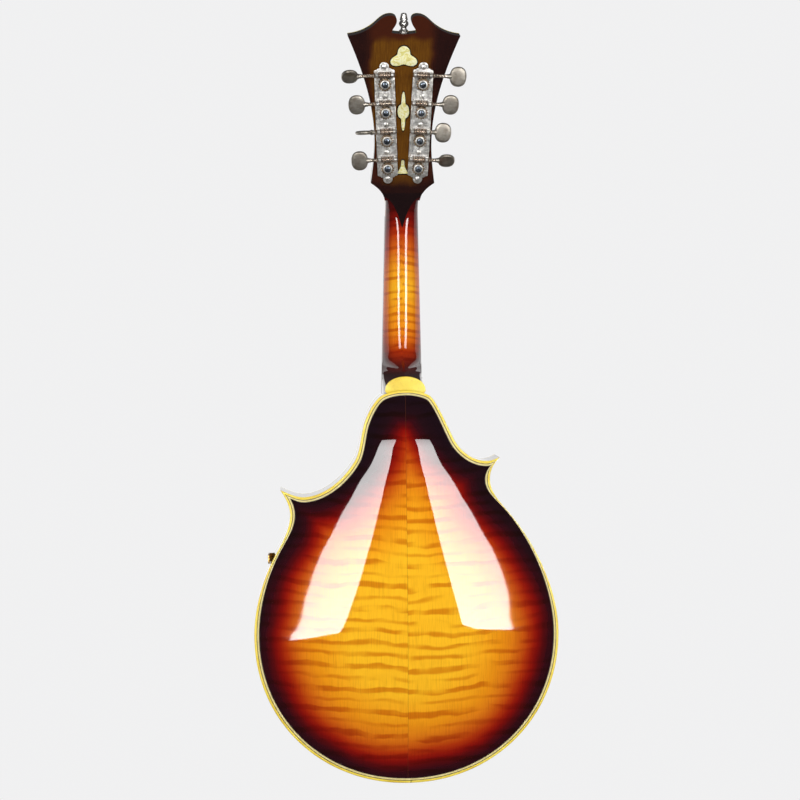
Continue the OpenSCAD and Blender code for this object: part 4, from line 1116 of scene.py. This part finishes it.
def cheek(x0, x1):
    """One upright that carries the worm's shaft: a rounded bracket seen along X."""
    angles = [math.pi * k / 14 for k in range(15)]
    arc = [(-2.1 * math.cos(a), WORM_Y - 0.4 - 1.9 * math.sin(a)) for a in angles]
    foot = [(2.9, PLATE_Y + 0.02), (2.9, PLATE_Y + 0.3), (-2.9, PLATE_Y + 0.3), (-2.9, PLATE_Y + 0.02)]
    outline = [(-2.1, PLATE_Y), (-2.1, WORM_Y + 0.4), *arc, (2.1, WORM_Y + 0.4), (2.1, PLATE_Y), *foot]
    bevel, middle_y, rows = 0.16, WORM_Y + 1.0, []
    for x, share in ((x0, 1 - bevel / 2.1), (x0 + bevel, 1), (x1 - bevel, 1), (x1, 1 - bevel / 2.1)):
        rows.append([(x, middle_y + (y - middle_y) * share, z * share) for z, y in outline])
    return loft(rows)


SCREW_SPOTS = (46.2, 22.2, -1.0, -24.1, -46.2)
SCREW_TURNS = (25, 80, -30, 60, 10)
GEAR_SCREW_TURNS = (35, 20, 60, 48, 75, 12, 50, 28)


def slotted_dome(r, high, slot_wide, slot_deep, turn):
    """A domed screw head on the plane z = 0, its slot cut and turned."""
    angles = [math.pi / 2 * k / 7 for k in range(7)]
    steps = [(r * math.cos(a), 0.25 * high + 0.75 * high * math.sin(a)) for a in angles]
    head = lathe([(0, -0.15), (r * 0.96, -0.15), (r, 0.0)] + steps + [(0, high)], 36)
    cut = Matrix.Rotation(math.radians(turn), 4, "Z") @ move(0, 0, high - slot_deep + 2)
    corners = ((-1, -1), (1, -1), (1, 1), (-1, 1))
    box = [(x * r * 2, y * slot_wide / 2, z) for z in (-2, 2) for x, y in corners]
    sides = [[0, 1, 2, 3], [4, 5, 6, 7], [0, 1, 5, 4], [1, 2, 6, 5], [2, 3, 7, 6], [3, 0, 4, 7]]
    return combine(head, [placed((box, sides), cut)], "DIFFERENCE")


AWAY = Matrix.Rotation(math.pi / 2, 4, "X")  # a screw's own axis laid along -Y, out of the back

for side, strip_name in ((1, "bass"), (-1, "treble")):
    here = strip_frame(side)
    bores = [disc(0, z, GEAR_HOLE, 28) for z in POST_Z] + [disc(0, z, SCREW_HOLE, 20) for z in SCREW_SPOTS]
    strip = Shell().add(slab(plate_outline(), bores, PLATE_Y, -HEAD_THICK, 0.22), here)
    for edge_side in (1, -1):
        for z in POST_Z:
            low, high = z - 6.4, z + 3.4
            corners = ((7.75, low), (8.25, low + 0.5), (8.25, high - 0.5), (7.75, high), (7.3, high - 0.6),
                       (7.3, low + 0.6))
            ridge = [(edge_side * x, high_z) for x, high_z in corners]
            strip.add(slab(ridge, [], PLATE_Y - 0.45, PLATE_Y + 0.1, 0.12), here)
    for z in POST_Z:
        at_worm = here @ move(0, 0, z + WORM_OFFSET)
        for low, high in ((EAR_IN, EAR_OUT), (-EAR_OUT, -EAR_IN)):
            strip.add(cheek(low, high), at_worm)
        strip.add(slab(scalloped_bed(), [], PLATE_Y - 0.35, PLATE_Y + 0.1, 0.08), at_worm)
    build(f"tuner_strip_{strip_name}", strip, NICKEL, ROOT, "nickel", [f"tuner_plate_{strip_name}"])

screws = Shell()
for side in (1, -1):
    for turn, z in zip(SCREW_TURNS, SCREW_SPOTS):
        spot = strip_frame(side) @ move(0, PLATE_Y, z) @ AWAY
        screws.add(slotted_dome(2.15, 0.95, 0.45, 0.55, turn + 35 * side), spot)
        screws.add(rounded_bar(1.2, -2.0, 0.0, 0.1, 16), spot)
build("strip_screws", screws, NICKEL, ROOT, "nickel", ["tuner_plate_screws"])
refine("tuner_bushings", NICKEL, "nickel", 0.3)


# ------------------------------------------------------------------ keys
def worm():
    """A four-turn thread on its core, along X."""
    core, crest, half = 1.9, 2.78, 2 * WORM_LEAD
    around, rows = 40, []
    stations = np.linspace(-half, half, 73)
    for x in stations:
        fade = min(1.0, (half - abs(x)) / 0.35)
        row = []
        for k in range(around):
            a = 2 * math.pi * k / around
            phase = (x / WORM_LEAD + a / (2 * math.pi)) % 1.0
            tooth = max(0.0, min(1.0, 2.1 * (0.5 + 0.5 * math.cos(2 * math.pi * phase)) - 0.45))
            r = core + (crest - core) * tooth * fade
            row.append((x, -r * math.sin(a), -r * math.cos(a)))
        rows.append(row)
    return loft(rows)


def shaft(x0, x1, r):
    return placed(rounded_bar(r, x0, x1, min(0.2, r / 4), 28), TO_X)


def button(reach_x, turn):
    """An oval, slightly crowned button, turned about the shaft."""
    rows = []
    profile = [(0.0, 1.80), (0.35, 1.76), (0.6, 1.66), (0.78, 1.52), (0.88, 1.36), (0.945, 1.06),
               (0.985, 0.6), (1.0, 0.0)]
    levels = profile + [(s, -y) for s, y in profile[-2::-1]]
    for share, y in levels:
        if share == 0:
            rows.append([(0, y, 0)])
            continue
        ring = []
        for k in range(56):
            a = 2 * math.pi * k / 56
            squared = 1 + 0.025 * math.cos(4 * a + math.pi)
            ring.append((7.0 * share * math.cos(a) * squared, y, 8.4 * share * math.sin(a) * squared))
        rows.append(ring)
    spin = Matrix.Rotation(math.radians(turn), 4, "X") @ move(reach_x, 0, 0)
    return placed(loft(rows), spin)


def collar(x0, x1, r, groove=0.0):
    middle = (x0 + x1) / 2
    return placed(lathe([(0, x0), (r - 0.25, x0), (r, x0 + 0.25), (r - groove, middle), (r, x1 - 0.25),
                         (r - 0.25, x1), (0, x1)], 28), TO_X)


gear_screw = slotted_dome(2.75, 1.35, 0.55, 0.75, 0)
for n in range(1, 9):
    side, i = (1, n - 1) if n <= 4 else (-1, n - 5)
    here = strip_frame(side) @ move(0, WORM_Y, POST_Z[i] + WORM_OFFSET)
    key = Shell().add(worm(), here, 0)
    key.add(shaft(-EAR_OUT - 0.7, -4.3, 1.45), here, 0)
    key.add(shaft(4.3, REACH[i] - 6.0, 1.45), here, 0)
    for low, high in ((-EAR_IN + 0.12, -4.35), (4.35, EAR_IN - 0.12)):
        key.add(collar(low, high, 1.95), here, 0)
    key.add(collar(-EAR_OUT - 1.0, -EAR_OUT - 0.1, 1.9), here, 0)
    key.add(collar(EAR_OUT + 0.1, EAR_OUT + 1.3, 2.05, 0.2), here, 0)
    neck = [(0, REACH[i] - 9.2), (1.55, REACH[i] - 9.2), (1.85, REACH[i] - 8.6), (1.7, REACH[i] - 7.9),
            (2.1, REACH[i] - 7.2), (2.2, REACH[i] - 6.4), (1.8, REACH[i] - 5.2), (0, REACH[i] - 4.8)]
    key.add(placed(lathe(neck, 32), TO_X), here, 1)
    key.add(button(REACH[i], TURNS[n - 1]), here, 1)
    metals = [SHAFT_METAL, BUTTON_METAL]
    build(f"key_{n}_turned", key, metals, f"key_{n}", "nickel", [f"tuner_key_{n}"], smooth=42)


# ------------------------------------------------------------------ string posts and gears
GEAR_TOOTH = ((2.0, 5.5), (3.2, 5.42), (7.0, 4.75), (9.5, 4.6))  # degrees from the middle, and radius
GEAR_TEETH = 15


def gear_outline():
    tooth = [(-degrees, r) for degrees, r in GEAR_TOOTH[::-1]] + list(GEAR_TOOTH)
    loop = []
    for k in range(GEAR_TEETH):
        middle = 90 + (k + 0.5) * 360 / GEAR_TEETH
        for degrees, r in tooth:
            a = math.radians(middle + degrees)
            loop.append((r * math.cos(a), r * math.sin(a)))
    return loop


POST = (
    (0, WORM_Y + 1.2), (3.1, WORM_Y + 1.2), (3.1, 1.0), (2.95, 1.35), (2.4, 1.6), (2.32, 3.0), (2.36, 5.5),
    (2.4, 7.2), (2.4, 9.6), (2.32, 11.2), (2.38, 12.3), (2.7, 12.8), (2.75, 13.0), (2.6, 13.35), (1.9, 13.5),
    (0, 13.5))
for n in range(1, 9):
    side, i = (1, n - 1) if n <= 4 else (-1, n - 5)
    here = strip_frame(side) @ move(0, 0, POST_Z[i])
    eye = placed(rounded_bar(0.8, -5, 5, 0.1, 20), move(0, 8.5, 0) @ TO_X)
    stem = combine(placed(lathe(POST, 40), TO_Y), [eye], "DIFFERENCE")
    post = Shell().add(stem, here, 0)
    post.add(placed(rounded_bar(3.9, WORM_Y + 1.25, PLATE_Y - 0.15, 0.12, 36), TO_Y), here, 0)
    post.add(slab(gear_outline(), [], WORM_Y - 1.3, WORM_Y + 1.3, 0.12), here, 3)
    post.add(placed(rounded_bar(3.75, -0.1, 0.55, 0.2, 40), move(0, WORM_Y - 1.3, 0) @ AWAY), here, 1)
    spin = Matrix.Rotation(math.radians(GEAR_SCREW_TURNS[n - 1]), 4, "Z")
    post.add(gear_screw, here @ move(0, WORM_Y - 1.75, 0) @ AWAY @ spin, 2)
    metals = [BRASS, NICKEL, SCREW_METAL, GEAR_METAL]
    build(f"post_{n}_turned", post, metals, f"post_{n}", "brass", [f"string_post_{n}"], smooth=40)

# ------------------------------------------------------------------ strings
COURSES = (
    ("g", 1, ((3, 10.6, 20.3, 15.9), (2, 8.1, 17.7, 13.5)), 0.5, WOUND, "wound_string"),
    ("d", 1, ((1, 4.4, 7.6, 6.5), (0, 2.1, 5.0, 4.1)), 0.36, WOUND, "wound_string"),
    ("a", -1, ((1, -4.4, -7.6, -6.5), (0, -2.1, -5.0, -4.1)), 0.2, STEEL, "plain_string"),
    ("e", -1, ((3, -10.6, -20.3, -15.9), (2, -8.1, -17.7, -13.5)), 0.15, STEEL, "plain_string"),
)
POST_WAIST = 2.42
COIL_TURNS, COIL_STEPS = 3.2, 20


def coil_level(i):
    """How high on its post a string leaves: high and low posts take turns."""
    return 4.2 if i % 2 == 1 else 7.6


def string_path(side, i, at_nut, at_saddle, at_hook, r):
    """From the post over nut and saddle to the hook, with small bends at both."""
    x, z = post_spots()[i if side > 0 else i + 4]
    start = IN_HEAD @ Vector((x - side * (POST_WAIST + r), coil_level(i), z))
    over = [IN_NECK @ Vector((at_nut, NUT_TOP + r, q)) for q in (-2.4, -3.4, -NUT_LEN)]
    crown = [Vector((at_saddle, SADDLE_TOP + r + 0.02, BRIDGE_Z + q)) for q in (1.4, 0.0, -1.4)]
    hook = Vector((at_hook, HOOK_Y, HOOK_Z))
    corners = [start, *over, *crown, hook]
    points = []
    for a, b in zip(corners, corners[1:]):
        count = max(1, int((b - a).length / 12))
        points += [a + (b - a) * k / count for k in range(count)]
    return points + [hook]


for course, side, pair, r, look, slot in COURSES:
    shell = Shell()
    for i, at_nut, at_saddle, at_hook in pair:
        shell.add(tube(string_path(side, i, at_nut, at_saddle, at_hook, r), r))
        eye_angles = [2 * math.pi * k / 20 for k in range(21)]
        loop_end = [(at_hook + 1.35 * math.sin(a), HOOK_Y - 0.2, HOOK_Z - 1.2 + 1.5 * math.cos(a))
                    for a in eye_angles]
        shell.add(tube(loop_end, min(r, 0.22), 8))
        n = i + 1 if side > 0 else i + 5
        level, coil = coil_level(i), []
        for k in range(int(COIL_TURNS * COIL_STEPS) + 1):
            a = 2 * math.pi * k / COIL_STEPS + (math.pi if side > 0 else 0.0)
            y = level + (2 * r + 0.03) * k / COIL_STEPS * (0.9 if level < 6 else -0.9)
            grip = POST_WAIST + r
            coil.append((grip * math.cos(a) * side, y, grip * math.sin(a)))
        spot = IN_HEAD @ move(post_spots()[n - 1][0], 0, post_spots()[n - 1][1])
        build(f"string_turns_{n}", Shell().add(tube(coil, r, 10), spot), look, f"post_{n}", slot)
    build(f"string_pair_{course}", shell, look, ROOT, slot, [f"strings_{course}"], smooth=60)

# ------------------------------------------------------------------ bridge, tailpiece, pickguard
for node, look, slot, edge, segments in (
    ("bridge_base", EBONY, "ebony", 0.35, 3), ("bridge_posts", BRASS, "brass", 0.2, 2),
    ("thumbwheel_bass", BRASS, "brass", 0.12, 1), ("thumbwheel_treble", BRASS, "brass", 0.12, 1),
    ("bridge_saddle", EBONY, "ebony", 0.3, 3), ("tailpiece_base", NICKEL, "nickel", 0.2, 2),
    ("tailpiece_cover", NICKEL, "nickel", 0.45, 3), ("tailpiece_screws", NICKEL, "nickel", 0.25, 2),
    ("pickguard", GUARD, "guard", 0.35, 3), ("pickguard_bracket", BRASS, "brass", 0.2, 2),
):
    refine(node, look, slot, edge, segments)

# the inner pieces keep the CAD nodes' own meshes and get a finish
for inner in ("body_blocks", "linings", "tone_bars"):
    inner_mesh = frame["nodes"][inner].data
    inner_mesh.materials.clear()
    inner_mesh.materials.append(INNER)

# ------------------------------------------------------------------ studio
def direction(azimuth, elevation):
    """The way towards a place round the object: azimuth 0 is straight behind its back."""
    flat = math.cos(elevation)
    return Vector((math.sin(azimuth) * flat, -math.cos(azimuth) * flat, math.sin(elevation)))


scene = bpy.context.scene
VIEW_WIDE = 0.6536  # width of the picture at the back's edge plane, in metres
VIEW_FAR = 1.6
AIM = Vector((-0.0045, BACK_Y * MM, -0.1577))
YAW, PITCH, ROLL = math.radians(-3.0), math.radians(1.5), math.radians(-0.39)
SENSOR = 36.0

camera_data = bpy.data.cameras.new("camera")
camera_data.sensor_width = SENSOR
camera_data.lens = SENSOR * VIEW_FAR / VIEW_WIDE
camera_data.clip_start = 0.05
camera_data.clip_end = 20.0
camera = add_object("camera", camera_data)
back_way = direction(YAW, PITCH)
turn = (-back_way).to_track_quat("-Z", "Y").to_matrix().to_4x4()
camera.matrix_world = Matrix.Translation(AIM + back_way * VIEW_FAR) @ turn @ Matrix.Rotation(ROLL, 4, "Z")
scene.camera = camera
scene.view_settings.view_transform = "Standard"

world = bpy.data.worlds.new("studio")
scene.world = world
world.use_nodes = True
sky = world.node_tree
sky.nodes.clear()
seen = sky.nodes.new("ShaderNodeBackground")  # what the camera sees
felt = sky.nodes.new("ShaderNodeBackground")  # what lights the object
seen.inputs[0].default_value = (0.875, 0.875, 0.88, 1)
felt.inputs[0].default_value = (1, 1, 1, 1)
felt.inputs[1].default_value = 0.07
chooser = sky.nodes.new("ShaderNodeMixShader")
path = sky.nodes.new("ShaderNodeLightPath")
out = sky.nodes.new("ShaderNodeOutputWorld")
sky.links.new(path.outputs["Is Camera Ray"], chooser.inputs[0])
sky.links.new(felt.outputs[0], chooser.inputs[1])
sky.links.new(seen.outputs[0], chooser.inputs[2])
sky.links.new(chooser.outputs[0], out.inputs[0])


LIGHT_AIM = Vector((0, -0.05, -0.33))
SHEET_FAR, SHEET_ROWS, SHEET_TOP = 2.2, 12, 26.0
SHEET_GLOW, SHEET_FALL = 18.6, 10.0


def lamp(name, azimuth, elevation, far, wide, high, power):
    """A soft rectangular light aimed at the body."""
    light = bpy.data.lights.new(name, "AREA")
    light.shape = "RECTANGLE"
    light.size, light.size_y, light.energy = wide, high, power
    obj = add_object(name, light)
    way = direction(math.radians(azimuth), math.radians(elevation))
    obj.location = LIGHT_AIM + way * far
    obj.rotation_mode = "QUATERNION"
    obj.rotation_quaternion = (-way).to_track_quat("-Z", "Y")
    obj.visible_camera = False
    return obj


def glowing_sheet(name, low_outer, low_inner, outer_turn, inner_turn):
    """A tall bright sheet that only shows as a reflection; its low corners are azimuth and elevation."""
    points, strengths = [], []
    for k in range(SHEET_ROWS + 1):
        share = k / SHEET_ROWS
        bend = 1 - (1 - share) ** 2
        for (azimuth, elevation), turn in ((low_outer, outer_turn), (low_inner, inner_turn)):
            tilt = elevation + (SHEET_TOP - elevation) * share
            way = direction(math.radians(azimuth + turn * bend), math.radians(tilt))
            points.append(LIGHT_AIM + way * SHEET_FAR)
            strengths.append(SHEET_GLOW - SHEET_FALL * share)
    mesh = bpy.data.meshes.new(name)
    mesh.from_pydata(points, [], [(2 * k, 2 * k + 1, 2 * k + 3, 2 * k + 2) for k in range(SHEET_ROWS)])
    mesh.attributes.new("glow", "FLOAT", "POINT").data.foreach_set("value", strengths)
    look = Look(name, Base_Color=(0, 0, 0, 1), Emission_Color=(1, 1, 1, 1), Roughness=1.0)
    mesh.materials.append(look.set(Emission_Strength=look.attribute("glow")))
    sheet = add_object(name, mesh)
    sheet.visible_camera = sheet.visible_diffuse = sheet.visible_shadow = False


# the two tall sheets only show as reflections; the washes only light the colours
glowing_sheet("softbox_left", (-23.9, -10.6), (-17.1, -8.8), 1.6, 8.6)
glowing_sheet("softbox_right", (29.5, -8.2), (19.5, -6.5), -0.5, -4.8)
for wall_name, azimuth in (("back_wall", 180), ("wall_left", -118), ("wall_right", 118)):
    lamp(wall_name, azimuth, -6, 2.6, 3.0, 2.0, 19)
for wash_name, azimuth, elevation, power in (
    ("wash_left", -40, 20, 32), ("wash_right", 40, 20, 32), ("wash_top", 0, 70, 20)
):
    lamp(wash_name, azimuth, elevation, 2.4, 1.6, 1.6, power).visible_glossy = False

FLOOR_R, FLOOR_Z = 3.3, -1.5
floor_mesh = bpy.data.meshes.new("floor")
floor_mesh.from_pydata(circle(FLOOR_R, FLOOR_Z, 64), [], [list(range(64))])
floor_mesh.materials.append(
    mottled("pale_floor", [(0.3, (226, 226, 227)), (0.7, (236, 236, 237))], 0.004, Roughness=0.9))
floor = add_object("floor", floor_mesh)
floor.visible_glossy = False
